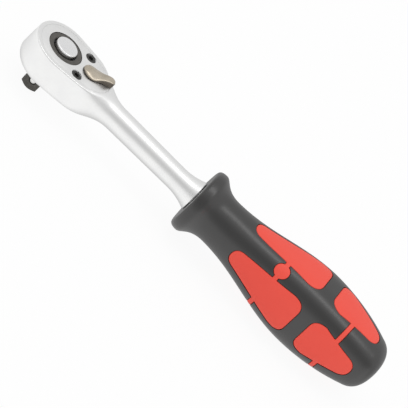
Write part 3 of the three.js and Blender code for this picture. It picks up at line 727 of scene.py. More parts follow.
@dataclass(frozen=True, kw_only=True)
class PhosphatedSteel(Finish):
    """Steel with a black phosphate coat: a dark, finely crystalline surface with a dull gloss."""

    crystal_scale: float = 5200.0
    crystal_colour: float = 0.25
    crystal_strength: float = 0.35
    crystal_depth: float = 8e-6
    mottle_scale: float = 700.0
    mottle_layers: float = 4.0
    mottle_span: Point = (0.35, 0.95)
    mottle_relief: float = 0.5
    mottle_gloss: float = 0.16
    metallic: float = 0.35

    def surface(self, shader: Shader) -> Inputs:
        """Returns a dark, slightly mottled coat.

        Args:
            shader: The tree that it is written in.

        Returns:
            Values and links of the principled surface.
        """
        crystals = shader.grains(self.crystal_scale)
        mottle = shader.noise(self.mottle_scale, self.mottle_layers)
        share = shader.between(mottle + self.crystal_colour * crystals, self.mottle_span)
        relief = crystals + self.mottle_relief * mottle
        return {
            "Base Color": shader.blend(share, self.colour, self.other),
            "Roughness": self.roughness + self.mottle_gloss * (mottle - NOISE_MIDDLE),
            "Metallic": self.metallic,
            "Normal": shader.bump(relief, self.crystal_strength, self.crystal_depth),
        }


@dataclass(frozen=True, kw_only=True)
class CastMetal(Finish):
    """Small metal casting, tumbled and plated: warm metal with a soft skin and tiny pits, and painted shade
    on its sideways flanks.
    """

    # Painted shade: the darker colour of flanks that face sideways.
    flank_shade_colour: Colour
    skin_scale: float = 900.0
    skin_layers: float = 5.0
    skin_rough: float = 0.6
    skin_gloss: float = 0.2
    skin_strength: float = 0.3
    skin_depth: float = 12e-6
    cloud_scale: float = 260.0
    cloud_layers: float = 2.0
    cloud_span: Point = (0.3, 0.7)
    pit_scale: float = 1500.0
    pit_span: Point = (0.0, 0.2)
    pit_share: float = 0.6
    flank_gloss: float = 0.1

    def surface(self, shader: Shader) -> Inputs:
        """Returns warm metal, lighter on its back, with painted shade and more roughness on the flanks that
        face sideways.

        Args:
            shader: The tree that it is written in.

        Returns:
            Values and links of the principled surface.
        """
        # Painted shade: flanks that face sideways take the darker colour, and also more roughness.
        up_facing = shader.node("ShaderNodeAttribute", {"attribute_name": UP_FACING}, None, "Fac")
        skin = shader.noise(self.skin_scale, self.skin_layers, rough=self.skin_rough)
        clouds = shader.noise(self.cloud_scale, self.cloud_layers)
        pits = shader.between(shader.grains(self.pit_scale), self.pit_span)
        lit_colour = shader.blend(shader.between(clouds, self.cloud_span), self.colour, self.other)
        uneven = self.skin_gloss * (skin - NOISE_MIDDLE) + self.flank_gloss * (1 - up_facing)
        return {
            "Base Color": shader.blend(up_facing, self.flank_shade_colour, lit_colour),
            "Roughness": self.roughness + uneven,
            "Metallic": 1.0,
            "Normal": shader.bump(skin + self.pit_share * pits, self.skin_strength, self.skin_depth),
        }


@dataclass(frozen=True, kw_only=True)
class Moulding(Finish):
    """Moulded plastic or rubber with a fine spark grain from its mould."""

    specular: float
    grain_scale: float
    grain_depth: float
    grain_strength: float = 0.5
    fine_scale: float = 0.7
    fine_layers: float = 3.0
    fine_colour: float = 0.3
    fine_relief: float = 0.6
    fine_gloss: float = 0.14
    cloud_scale: float = 55.0
    cloud_layers: float = 3.0
    cloud_span: Point = (0.35, 0.95)
    cloud_gloss: float = 0.08

    def surface(self, shader: Shader) -> Inputs:
        """Returns a grained, slightly uneven skin.

        Args:
            shader: The tree that it is written in.

        Returns:
            Values and links of the principled surface.
        """
        grain = shader.grains(self.grain_scale)
        fine = shader.noise(self.grain_scale * self.fine_scale, self.fine_layers)
        clouds = shader.noise(self.cloud_scale, self.cloud_layers)
        share = shader.between(clouds + self.fine_colour * fine, self.cloud_span)
        uneven = self.fine_gloss * (fine - NOISE_MIDDLE) + self.cloud_gloss * (clouds - NOISE_MIDDLE)
        relief = grain + self.fine_relief * fine
        return {
            "Base Color": shader.blend(share, self.colour, self.other),
            "Roughness": self.roughness + uneven,
            "Specular IOR Level": self.specular,
            "Normal": shader.bump(relief, self.grain_strength, self.grain_depth),
        }


SATIN_CHROME = PlatedSteel(
    slot="satin_chrome", colour=srgb(248, 248, 247), other=srgb(243, 243, 243), roughness=0.36, spread=0.08
)
BRIGHT_CHROME = PlatedSteel(
    slot="bright_chrome", colour=srgb(249, 249, 249), other=srgb(244, 244, 245), roughness=0.26, spread=0.06
)
BRIGHT_STEEL = PlatedSteel(
    slot="bright_steel", colour=srgb(243, 243, 241), other=srgb(232, 232, 230), roughness=0.16, spread=0.05
)
SPRING_STEEL = PlatedSteel(
    slot="spring_steel", colour=srgb(150, 152, 155), other=srgb(128, 130, 134), roughness=0.3, spread=0.1
)
BLACK_PHOSPHATE = PhosphatedSteel(
    slot="black_phosphate", colour=srgb(79, 77, 73), other=srgb(97, 94, 90), roughness=0.5
)
BLACK_OXIDE = PhosphatedSteel(
    slot="black_phosphate",
    name="black_oxide",
    colour=srgb(50, 49, 48),
    other=srgb(64, 63, 61),
    roughness=0.34,
)
WARM_NICKEL = CastMetal(
    slot="warm_nickel",
    colour=srgb(203, 193, 177),
    other=srgb(184, 174, 158),
    # Painted shade on the lever's flanks.
    flank_shade_colour=srgb(112, 105, 97),
    roughness=0.26,
)
BLACK_PLASTIC = Moulding(
    slot="black_plastic",
    colour=srgb(17, 15, 14),
    other=srgb(22, 20, 19),
    roughness=0.32,
    specular=1.0,
    grain_scale=3400.0,
    grain_depth=5e-6,
)
RED_RUBBER = Moulding(
    slot="red_rubber",
    colour=srgb(240, 74, 58),
    other=srgb(243, 82, 65),
    roughness=0.5,
    specular=0.5,
    grain_scale=2600.0,
    grain_depth=8e-6,
)
BLACK_RUBBER = Moulding(
    slot="black_rubber",
    colour=srgb(28, 28, 29),
    other=srgb(36, 36, 37),
    roughness=0.6,
    specular=0.4,
    grain_scale=2600.0,
    grain_depth=9e-6,
)


def dress(piece: bpy.types.Object, finish: Finish, body: str, *nodes: str) -> bpy.types.Object:
    """Gives a new piece its finish, its body and the solids that it stands for.

    Args:
        piece: The new piece.
        finish: Its finish.
        body: The body of the frame that it moves with.
        nodes: The solids of the frame that it stands for.

    Returns:
        The same piece.
    """
    piece.data.materials.clear()
    piece.data.materials.append(finish.material())
    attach(piece, body)
    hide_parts(*nodes)
    return piece


@dataclass
class Datum:
    """Heights and places that the pieces share, in millimetres, the first four read from the frame."""

    head_bottom: float = field(init=False)
    head_top: float = field(init=False)
    plate_bottom: float = field(init=False)
    shank: float = field(init=False)
    lever_x: float = 12.4
    floor: float = 11.1
    seam: float = 0.12

    def __post_init__(self) -> None:
        """Reads the heights from the frame's solids."""
        self.head_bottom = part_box("ratchet_body")[0].z / MM
        self.plate_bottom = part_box("cover_plate")[0].z / MM
        self.head_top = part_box("cover_plate")[1].z / MM
        core_low, core_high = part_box("handle_core")
        self.shank = (core_low.z + core_high.z) / 2 / MM


@dataclass
class PlanOutlines:
    """Plan outlines that the head and its cover plate share."""

    datum: Datum
    head_radius: float = 12.1
    rim: float = 1.7
    back_radius: float = 8.1
    seam: float = 0.03
    arc_steps: int = 40

    def pear(self, margin: float = 0.0) -> list[Vector]:
        """Draws the pear shape of the cover plate, two circles joined by their tangents.

        Args:
            margin: How far the outline is grown.

        Returns:
            The points of the closed outline.
        """
        front = self.head_radius - self.rim + margin
        back = self.back_radius + margin
        distance = self.datum.lever_x
        lean = math.acos((front - back) / distance)
        line = Outline(front * math.cos(lean), front * math.sin(lean))
        line.arc((0, 0), FULL_TURN - 2 * lean, self.arc_steps)
        line.line(distance + back * math.cos(lean), -back * math.sin(lean))
        line.arc((distance, 0), 2 * lean, self.arc_steps)
        return line.points


@dataclass
class ForgedBody:
    """Head, neck, shank, collar and tang, forged in one."""

    datum: Datum
    plans: PlanOutlines
    back_x: float = 16.5
    back_half: float = 9.9
    top_edge: float = 0.5
    bottom_edge: float = 3.2
    neck_slope: float = 0.63
    neck_foot_x: float = 25.0
    neck_blend: float = 4.5
    soft_crease: float = 1.3
    anchor_lag: float = 1.35
    front_radius: float = 4.65
    rear_radius: float = 4.4
    collar_end_x: float = 67.5
    collar_length: float = 9.0
    collar_radius: float = 6.15
    collar_edge: float = 0.2
    collar_pull: float = 4.2
    tang_radius: float = 3.7
    tang_end_x: float = 125.5
    wheel_room: float = 8.35
    journal_room: float = 5.75
    spindle_room: float = 3.85
    pawl_room: float = 6.5
    pawl_x: float = 4.6
    foot_room: float = 2.05
    foot_low: float = 9.45
    over: float = 5.0
    room_steps: int = 64
    plan_steps: tuple[int, int, int] = (30, 8, 20)
    section_steps: tuple[int, int, int, int, int] = (6, 10, 8, 6, 10)
    neck_steps: int = 18
    shank_steps: int = 8
    flare_steps: int = 14
    edge_steps: int = 4
    tang_steps: int = 2

    def neck_start(self) -> Point:
        """Returns where the neck's cone starts to bend into the shank, as X and radius."""
        return self.neck_foot_x - self.neck_blend, self.front_radius + self.neck_blend * self.neck_slope

    def envelope(self, x: float) -> float:
        """Returns the radius round the shank's axis that the head is drawn in to.

        Args:
            x: Place along the body, as far as the shank.

        Returns:
            The radius.
        """
        start_x, start_radius = self.neck_start()
        if x <= start_x:
            return self.front_radius + (self.neck_foot_x - x) * self.neck_slope
        share = min((x - start_x) / (2 * self.neck_blend), 1.0)
        return self.front_radius + (start_radius - self.front_radius) * (1 - share) ** 2

    def plan(self) -> list[tuple[Vector, Vector]]:
        """Draws the plan of one side of the head.

        Returns:
            Stations along it, each with its anchor on the axis and its edge.
        """
        radius = self.plans.head_radius
        front_steps, side_steps, back_steps = self.plan_steps
        corner = math.atan2(self.back_half, self.back_x)
        tangent = corner + math.acos(radius / math.hypot(self.back_x, self.back_half))
        neck_x, neck_radius = self.neck_start()
        side_x = self.back_x / 2
        side_y = self.back_half + (self.back_x - side_x) / math.tan(tangent)
        front = Outline(-radius, 0.0).arc((0, 0), tangent - math.pi, front_steps).points
        side = Outline(*front[-1]).line(side_x, side_y, side_steps)
        side.bend((self.back_x, self.back_half), (neck_x, neck_radius + self.top_edge), back_steps)
        stations = [(Vector((0.0, 0.0)), point) for point in front]
        first_x = front[-1].x
        for point in side.points[1:]:
            share = (point.x - first_x) / (neck_x - first_x)
            stations.append((Vector((neck_x * share**self.anchor_lag, 0.0)), point))
        return stations

    def section(self, width: float) -> list[Point]:
        """Draws the half section of the head.

        Args:
            width: Distance from the anchor to the side wall.

        Returns:
            Distance from the anchor and height of each point.
        """
        low, high = self.datum.head_bottom, self.datum.head_top
        under, lower_round, wall, upper_round, top = self.section_steps
        line = Outline(0.0, low).line(width - self.bottom_edge, low, under)
        line.arc((width - self.bottom_edge, low + self.bottom_edge), RIGHT_ANGLE, lower_round)
        line.line(width, high - self.top_edge, wall)
        line.arc((width - self.top_edge, high - self.top_edge), RIGHT_ANGLE, upper_round)
        line.line(0.0, high, top)
        return [tuple(point) for point in line.points]

    def turned_part(self) -> list[Vector]:
        """Draws the neck's foot, the shank, the collar and the tang.

        Returns:
            X and radius of each point.
        """
        neck_x, _ = self.neck_start()
        shank_x = self.neck_foot_x + self.neck_blend
        line = Outline(neck_x, self.envelope(neck_x))
        for i in range(1, self.neck_steps + 1):
            x = mix(neck_x, shank_x, i / self.neck_steps)
            line.line(x, self.envelope(x))
        end, radius, edge = self.collar_end_x, self.collar_radius, self.collar_edge
        line.line(end - self.collar_length, self.rear_radius, self.shank_steps)
        line.bend((end - edge - self.collar_pull, self.rear_radius), (end - edge, radius), self.flare_steps)
        line.bend((end, radius), (end, radius - edge), self.edge_steps)
        line.line(end, self.tang_radius)
        line.line(self.tang_end_x, self.tang_radius, self.tang_steps)
        line.line(self.tang_end_x, 0.0)
        return line.points[1:]

    def forging(self) -> Blank:
        """Sweeps the head's section round its plan, and draws it in to the shank.

        Returns:
            The outer form.
        """
        plan = self.plan()
        turned = self.turned_part()
        last_anchor, last_edge = plan[-1]
        axis_z = self.datum.shank
        shank_x = self.neck_foot_x + self.neck_blend

        def place(row: int, column: int) -> Vector:
            """Places one point of the sheet.

            Args:
                row: Step along the body.
                column: Step up its side.

            Returns:
                The point.
            """
            on_head = row < len(plan)
            anchor, edge = plan[row] if on_head else (last_anchor, last_edge)
            arm = edge - anchor
            out, height = self.section(arm.length)[column]
            spot = anchor + arm.normalized() * out
            point = Vector((spot.x, spot.y, height - axis_z))
            limit = self.envelope(point.x)
            if not on_head:
                point.x, limit = turned[row - len(plan)]
            distance = math.hypot(point.y, point.z)
            drawn = limit if point.x >= shank_x else soft_min(distance, limit, self.soft_crease)
            point.yz = point.yz * (drawn / distance)
            return point + Vector((0.0, 0.0, axis_z))

        columns = len(self.section(last_edge.y))
        return Blank.sheet(len(plan) + len(turned), columns, place).mirrored()

    def build(self) -> list[bpy.types.Object]:
        """Builds and dresses the body.

        Returns:
            The piece.
        """
        datum = self.datum
        above = datum.head_top + self.over
        rooms = (
            (self.wheel_room, datum.floor, 0.0),
            (self.journal_room, datum.head_bottom - self.over, 0.0),
            (self.pawl_room, datum.floor, self.pawl_x),
            (self.spindle_room, datum.floor, datum.lever_x),
            (self.foot_room, self.foot_low, datum.lever_x),
        )
        body = self.forging().cut(
            Blank.prism(self.plans.pear(self.plans.seam), datum.plate_bottom, above),
            *[Blank.drum(radius, low, above, self.room_steps).at(x, 0) for radius, low, x in rooms],
        )
        return [dress(body.finished("forged_body"), SATIN_CHROME, "tool_body", "ratchet_body")]


@dataclass
class CoverPlate:
    """Pear-shaped plate let into the top of the head, with its two screws."""

    datum: Datum
    plans: PlanOutlines
    edge: float = 0.03
    edge_rounds: int = 2
    over: float = 3.0
    under: float = 1.0
    disc_room: float = 7.1
    spindle_room: float = 2.75
    seal_room: float = 3.32
    seal_depth: float = 0.75
    screw_x: float = 8.8
    screw_y: float = 6.9
    screw_head: float = 2.05
    screw_cone: float = 1.1
    screw_rim: float = 0.22
    screw_shank: float = 1.0
    screw_length: float = 7.0
    screw_below: float = 0.1
    screw_steps: int = 48
    rim_steps: int = 4
    lobes: int = 6
    lobe_radius: float = 0.98
    lobe_swing: float = 0.17
    lobe_depth: float = 0.9
    lobe_steps: int = 16
    steps: int = 72

    def hole(self, radius: float, low: float) -> Blank:
        """Makes a cutter for a round hole with an eased rim.

        Args:
            radius: Radius of the hole.
            low: Height of its bottom.

        Returns:
            The cutter.
        """
        top = self.datum.head_top
        mouth = radius + self.edge
        line = Outline(0.0, low).path((radius, low), (radius, top - self.edge), (mouth, top))
        return Blank.turned(line.path((mouth, top + self.over), (0.0, top + self.over)).points, self.steps)

    def turned_screw(self, margin: float) -> Blank:
        """Turns a screw, or the cutter of its seat when it has a margin.

        Args:
            margin: How far the seat is wider than the screw.

        Returns:
            The screw or the cutter, on the drive axis.
        """
        top = self.datum.head_top - (0.0 if margin else self.screw_below)
        seat_top = top + (self.over if margin else 0.0)
        head = self.screw_head + margin
        shank = self.screw_shank + margin
        line = Outline(0.0, top - self.screw_length).path(
            (shank, top - self.screw_length), (shank, top - self.screw_cone), (head, top - self.screw_rim)
        )
        if margin:
            line.line(head, seat_top)
        else:
            line.bend((head, top), (head - self.screw_rim, top), self.rim_steps)
        return Blank.turned(line.line(0.0, seat_top).points, self.screw_steps)

    def recess(self) -> Blank:
        """Makes the six-lobed cutter of a screw's recess.

        Returns:
            The cutter, on the drive axis.
        """
        top = self.datum.head_top - self.screw_below
        count = self.lobe_steps * self.lobes
        points = []
        for i in range(count):
            angle = FULL_TURN * i / count
            radius = self.lobe_radius + self.lobe_swing * math.cos(self.lobes * angle)
            points.append(Vector((radius * math.cos(angle), radius * math.sin(angle))))
        return Blank.prism(points, top - self.lobe_depth, top + self.over)

    def build(self) -> list[bpy.types.Object]:
        """Builds and dresses the plate and its screws.

        Returns:
            The three pieces.
        """
        low, high = self.datum.plate_bottom, self.datum.head_top
        lever_x = self.datum.lever_x
        places = {"left": self.screw_y, "right": -self.screw_y}
        plate = Blank.prism(self.plans.pear(), low, high, self.edge, self.edge_rounds).cut(
            self.hole(self.disc_room, low - self.under),
            self.hole(self.spindle_room, low - self.under).at(lever_x, 0),
            self.hole(self.seal_room, high - self.seal_depth).at(lever_x, 0),
            *[self.turned_screw(self.datum.seam).at(self.screw_x, y) for y in places.values()],
        )
        pieces = [dress(plate.finished("top_plate"), SATIN_CHROME, "tool_body", "cover_plate")]
        for side, y in places.items():
            screw = self.turned_screw(0.0).cut(self.recess()).at(self.screw_x, y)
            piece = screw.finished(f"lobed_screw_{side}")
            pieces.append(dress(piece, BLACK_OXIDE, "tool_body", f"cover_screw_{side}"))
        return pieces


@dataclass
class DriveWheel:
    """Ratchet wheel with its top disc and square, the release button and the ball."""

    datum: Datum
    teeth: int = 60
    tip: float = 8.0
    tooth: float = 0.42
    tooth_flat: float = 0.18
    wheel_low: float = 11.75
    wheel_high: float = 19.1
    disc: float = 6.95
    disc_below: float = 0.1
    disc_edge: float = 0.25
    journal: float = 5.6
    journal_low: float = 7.6
    journal_edge: float = 0.35
    bore: float = 4.9
    bore_low: float = 15.5
    spring_room: float = 3.35
    spring_room_low: float = 13.75
    pin_bore: float = 1.35
    pin_bore_low: float = 1.0
    groove: float = 5.45
    groove_low: float = 18.65
    groove_high: float = 19.45
    over: float = 3.0
    square: float = 6.35
    square_corner: float = 0.25
    square_overlap: float = 1.0
    end_radius: float = 2.8
    end_round: float = 0.2
    end_rise: float = 0.16
    cone: float = 1.1
    corner_radius: float = 4.2
    ball: float = 1.5
    ball_z: float = 4.1
    ball_y: float = 2.225
    ball_mouth: float = 1.47
    ball_lip: float = 0.2
    ball_flare: float = 0.1
    ball_reach: float = 8.0
    button: float = 4.35
    button_flange: float = 4.75
    button_low: float = 17.7
    button_flange_high: float = 18.5
    button_high: float = 22.3
    button_edge: float = 0.6
    button_dish: float = 0.08
    hollow: float = 3.2
    hollow_high: float = 19.9
    pin_socket: float = 1.32
    pin_socket_high: float = 21.5
    steps: int = 96
    hole_steps: int = 48
    ball_steps: int = 64
    face_steps: int = 8
    edge_steps: int = 4

    def toothed_outline(self) -> list[Vector]:
        """Draws the teeth.

        Returns:
            The points of the closed outline.
        """
        pitch = FULL_TURN / self.teeth
        flat = self.tooth_flat / self.tip / 2
        points = []
        for i in range(self.teeth):
            for radius, offset in ((self.tip, -flat), (self.tip, flat), (self.tip - self.tooth, pitch / 2)):
                angle = i * pitch + offset
                points.append(Vector((radius * math.cos(angle), radius * math.sin(angle))))
        return points

    def square_pin(self) -> Blank:
        """Makes the square, with eased corners and its end turned to a cone.

        Returns:
            The square, in place.
        """
        high = self.journal_low + self.square_overlap
        above = high + self.square_overlap
        blank = Blank()
        size = Matrix.Diagonal((self.square, self.square, high, 1))
        bmesh.ops.create_cube(blank.bm, size=1.0, matrix=Matrix.Translation((0, 0, high / 2)) @ size)
        upright = [
            edge
            for edge in blank.bm.edges
            if abs(edge.verts[0].co.z - edge.verts[1].co.z) > self.square / 2
        ]
        blank.eased(upright, self.square_corner, self.edge_steps)
        nose = Outline(0.0, 0.0).line(self.end_radius - self.end_round, 0.0)
        nose.bend((self.end_radius, 0.0), (self.end_radius + self.end_round, self.end_rise), self.edge_steps)
        nose.path((self.corner_radius, self.cone), (self.corner_radius, above), (0.0, above))
        return blank.combined(Cut.KEEP, Blank.turned(nose.points, self.steps))

    def hub(self) -> Blank:
        """Turns the journal and the top disc.

        Returns:
            Both of them, as one shape.
        """
        top = self.datum.head_top - self.disc_below
        middle = (self.wheel_low + self.wheel_high) / 2
        low, edge = self.journal_low, self.journal_edge
        line = Outline(0.0, low).line(self.journal - edge, low)
        line.bend((self.journal, low), (self.journal, low + edge), self.edge_steps)
        line.path((self.journal, middle), (self.disc, middle), (self.disc, top - self.disc_edge))
        line.bend((self.disc, top), (self.disc - self.disc_edge, top), self.edge_steps)
        line.path((self.bore + self.disc_edge, top), (0.0, top))
        return Blank.turned(line.points, self.steps)

    def hollowing(self) -> Blank:
        """Turns the cutter of the bore for the button, its ring, its spring and the pin.

        Returns:
            The cutter.
        """
        top = self.datum.head_top - self.disc_below
        mouth = self.bore + self.disc_edge
        line = Outline(0.0, self.pin_bore_low).path(
            (self.pin_bore, self.pin_bore_low),
            (self.pin_bore, self.spring_room_low),
            (self.spring_room, self.spring_room_low),
            (self.spring_room, self.bore_low),
            (self.bore, self.bore_low),
            (self.bore, self.groove_low),
            (self.groove, self.groove_low),
            (self.groove, self.groove_high),
            (self.bore, self.groove_high),
            (self.bore, top - self.disc_edge),
            (mouth, top),
            (mouth, top + self.over),
            (0.0, top + self.over),
        )
        return Blank.turned(line.points, self.steps)

    def ball_hole(self) -> Blank:
        """Turns the cutter of the cross hole for the ball.

        Returns:
            The cutter, in place.
        """
        room = self.ball + self.datum.seam
        lip = self.square / 2 - self.ball_lip
        line = Outline(0.0, 0.0).path(
            (room, 0.0),
            (room, lip),
            (self.ball_mouth, lip),
            (self.ball_mouth + self.ball_flare, self.ball_reach),
            (0.0, self.ball_reach),
        )
        turn = Matrix.Translation((0, 0, self.ball_z)) @ Matrix.Rotation(RIGHT_ANGLE, 4, "X")
        return Blank.turned(line.points, self.hole_steps).moved(turn)

    def button_profile(self) -> list[Vector]:
        """Draws the button, with a faintly dished face.

        Returns:
            Radius and height of each point.
        """
        high, face = self.button_high, self.button_high - self.button_dish
        line = Outline(0.0, self.hollow_high).path(
            (self.hollow, self.hollow_high),
            (self.hollow, self.button_low),
            (self.button_flange, self.button_low),
            (self.button_flange, self.button_flange_high),
            (self.button, self.button_flange_high),
            (self.button, high - self.button_edge),
        )
        line.bend((self.button, high), (self.button - self.button_edge, high), self.face_steps)
        return line.bend((self.button / 2, face), (0.0, face), self.face_steps).points

    def build(self) -> list[bpy.types.Object]:
        """Builds and dresses the wheel, the button and the ball.

        Returns:
            The three pieces.
        """
        wheel = Blank.prism(self.toothed_outline(), self.wheel_low, self.wheel_high)
        wheel.joined(self.hub(), self.square_pin()).cut(self.hollowing(), self.ball_hole())
        socket = Blank.drum(self.pin_socket, 0.0, self.pin_socket_high, self.hole_steps)
        button = Blank.turned(self.button_profile(), self.steps).cut(socket)
        half_circle = Outline(0.0, -self.ball).arc((0, 0), math.pi, self.ball_steps // 2)
        half_circle.points[-1].x = 0.0
        ball = Blank.turned(half_circle.points, self.ball_steps).at(0, -self.ball_y, self.ball_z)
        return [
            dress(wheel.finished("toothed_wheel"), BLACK_PHOSPHATE, "drive", "drive_gear"),
            dress(button.finished("push_button"), BRIGHT_CHROME, "button", "release_button"),
            dress(ball.finished("lock_ball"), BRIGHT_STEEL, "ball", "detent_ball"),
        ]


@dataclass
class ThumbLever:
    """Reversing lever: a round hub with a tail that rises to a thumb rest, on a spindle."""

    datum: Datum
    throw_deg: float = 20.0
    hub: float = 3.5
    tail: float = 7.3
    tail_radius: float = 1.6
    lift: float = 0.25
    rim_height: float = 0.35
    hub_height: float = 1.45
    hub_round: float = 3.4
    hub_edge: float = 0.4
    thumb_height: float = 2.35
    rise_start: float = 0.6
    waist: float = 0.45
    edge: float = 0.55
    tip_drop: float = 0.35
    spindle: float = 2.6
    spindle_low: float = 19.4
    groove: float = 1.9
    groove_low: float = 18.6
    groove_high: float = 19.25
    shaft: float = 2.3
    shaft_low: float = 11.25
    foot: float = 1.9
    foot_low: float = 9.6
    plunger_room: float = 1.0
    plunger_z: float = 14.925
    plunger_span: Point = (-1.15, 8.0)
    # Painted shade: how far a point must face up to lose its flank shade.
    lit_facing_span: Point = (0.2, 0.8)
    rows: int = 64
    inner_steps: int = 8
    insets: tuple[float, ...] = (0.0, 0.03, 0.1, 0.2, 0.36)
    spindle_steps: int = 64
    plunger_steps: int = 32

    def half_width(self, x: float) -> float:
        """Returns half the lever's width.

        Args:
            x: Distance along the lever.

        Returns:
            The half width: round at both ends, and drawn in at the waist between them.
        """
        lean = math.acos((self.hub - self.tail_radius) / self.tail)
        slope = math.cos(lean)
        if x < self.hub * slope:
            return math.sqrt(max(self.hub**2 - x * x, 0.0))
        if x > self.tail + self.tail_radius * slope:
            return math.sqrt(max(self.tail_radius**2 - (x - self.tail) ** 2, 0.0))
        share = (x - self.hub * slope) / (self.tail + (self.tail_radius - self.hub) * slope)
        return (self.hub - x * slope) / math.sin(lean) - self.waist * math.sin(math.pi * share) ** 2

    def rise(self, x: float) -> float:
        """Returns how far the lever has changed from its hub to its thumb rest."""
        return smooth_step(self.rise_start, self.tail, x)

    def height(self, x: float) -> float:
        """Returns the height of the lever's back at a distance along it."""
        tip = max(x - self.tail, 0.0) / self.tail_radius
        return mix(self.hub_height, self.thumb_height, self.rise(x)) - self.tip_drop * tip * tip

    def drop(self, x: float, inset: float) -> float:
        """Returns how far the lever's back falls away near its rim.

        Args:
            x: Distance along the lever.
            inset: Distance in from the rim.

        Returns:
            The fall from the middle: a low dome over the hub, and a rounded edge on the tail.
        """
        dome = (self.hub_height - self.rim_height) * max(1 - inset / self.hub_round, 0.0) ** 2
        edge = rounded(self.edge, inset)
        return mix(dome + self.hub_edge * edge, edge, self.rise(x))

    def back(self) -> Blank:
        """Makes the lever's body, rounded over at its upper edge.

        Returns:
            The closed body, with its hub on the drive axis.
        """
        insets = [*self.insets, self.edge]
        columns = 2 * len(insets) + self.inner_steps - 1
        base = self.datum.head_top + self.lift
        start, end = -self.hub, self.tail + self.tail_radius

        def place(row: int, column: int) -> Vector:
            """Places one point of the back.

            Args:
                row: Step along the lever.
                column: Step across it.

            Returns:
                The point.
            """
            x = mix(start, end, (1 - math.cos(math.pi * row / (self.rows - 1))) / 2)
            width = self.half_width(x)
            y = across(width, column, insets, self.inner_steps)
            inset = min(width - abs(y), x - start, end - x)
            return Vector((x, y, base + self.height(x) - self.drop(x, inset)))

        sheet = Blank.sheet(self.rows, columns, place)
        return sheet.thickened(lambda point: Vector((point.x, point.y, base)))

    def build(self) -> list[bpy.types.Object]:
        """Builds and dresses the lever.

        Returns:
            The piece.
        """
        top = self.datum.head_top + self.lift + self.rim_height / 2
        profile = Outline(0.0, self.foot_low).path(
            (self.foot, self.foot_low),
            (self.foot, self.shaft_low),
            (self.shaft, self.shaft_low),
            (self.shaft, self.groove_low),
            (self.groove, self.groove_low),
            (self.groove, self.groove_high),
            (self.spindle, self.spindle_low),
            (self.spindle, top),
            (0.0, top),
        )
        plunger_bore = Blank.drum(self.plunger_room, *self.plunger_span, self.plunger_steps)
        plunger_bore.moved(Matrix.Rotation(-RIGHT_ANGLE, 4, "Y")).at(0, 0, self.plunger_z)
        lever = self.back().joined(Blank.turned(profile.points, self.spindle_steps)).cut(plunger_bore)
        turn = Matrix.Rotation(math.radians(self.throw_deg), 4, "Z")
        piece = lever.moved(turn).at(self.datum.lever_x, 0).finished("thumb_lever")
        self.mark_up_facing(piece.data)
        return [dress(piece, WARM_NICKEL, "lever", "reversing_lever")]

    def mark_up_facing(self, mesh: bpy.types.Mesh) -> None:
        """Notes on each point of the lever how far it faces up, which sets the painted shade on its sideways
        flanks.

        Args:
            mesh: The finished lever.
        """
        marks = mesh.attributes.new(UP_FACING, "FLOAT", "POINT")
        for mark, vert in zip(marks.data, mesh.vertices):
            mark.value = smooth_step(*self.lit_facing_span, vert.normal.z)


def across(width: float, column: int, insets: Sequence[float], inner: int) -> float:
    """Returns how far a column of a sheet lies from its middle line.

    Args:
        width: Half the sheet's width there.
        column: The column, counted from the low side.
        insets: Distances in from each rim at which the outer columns lie.
        inner: Number of even steps between the innermost of them.

    Returns:
        The distance, negative on the low side.
    """
    mirrored = 2 * len(insets) + inner - 2 - column
    near = min(column, mirrored)
    if near < len(insets):
        return max(width - insets[near], 0.0) * (-1 if column < mirrored else 1)
    reach = max(width - insets[-1], 0.0)
    return mix(-reach, reach, (column - len(insets) + 1) / inner)


@dataclass(frozen=True)
class Fit:
    """How a pad, a bridge or the boss lies in the handle's skin, or how its pocket does."""

    margin: float
    high: float
    low: float
    rim: float

    def lapped(self, lap: float) -> Fit:
        """Returns a fit that stands higher and goes deeper."""
        return replace(self, high=self.high + lap, low=self.low + lap)

    def sunk(self, point: Vector) -> Vector:
        """Finds the underside below the upper side, towards the shank's axis.

        Args:
            point: A point of the upper side.

        Returns:
            The point of the underside.
        """
        radius = math.hypot(point.y, point.z)
        share = (radius - (self.high + self.low)) / radius
        return Vector((point.x, point.y * share, point.z * share))


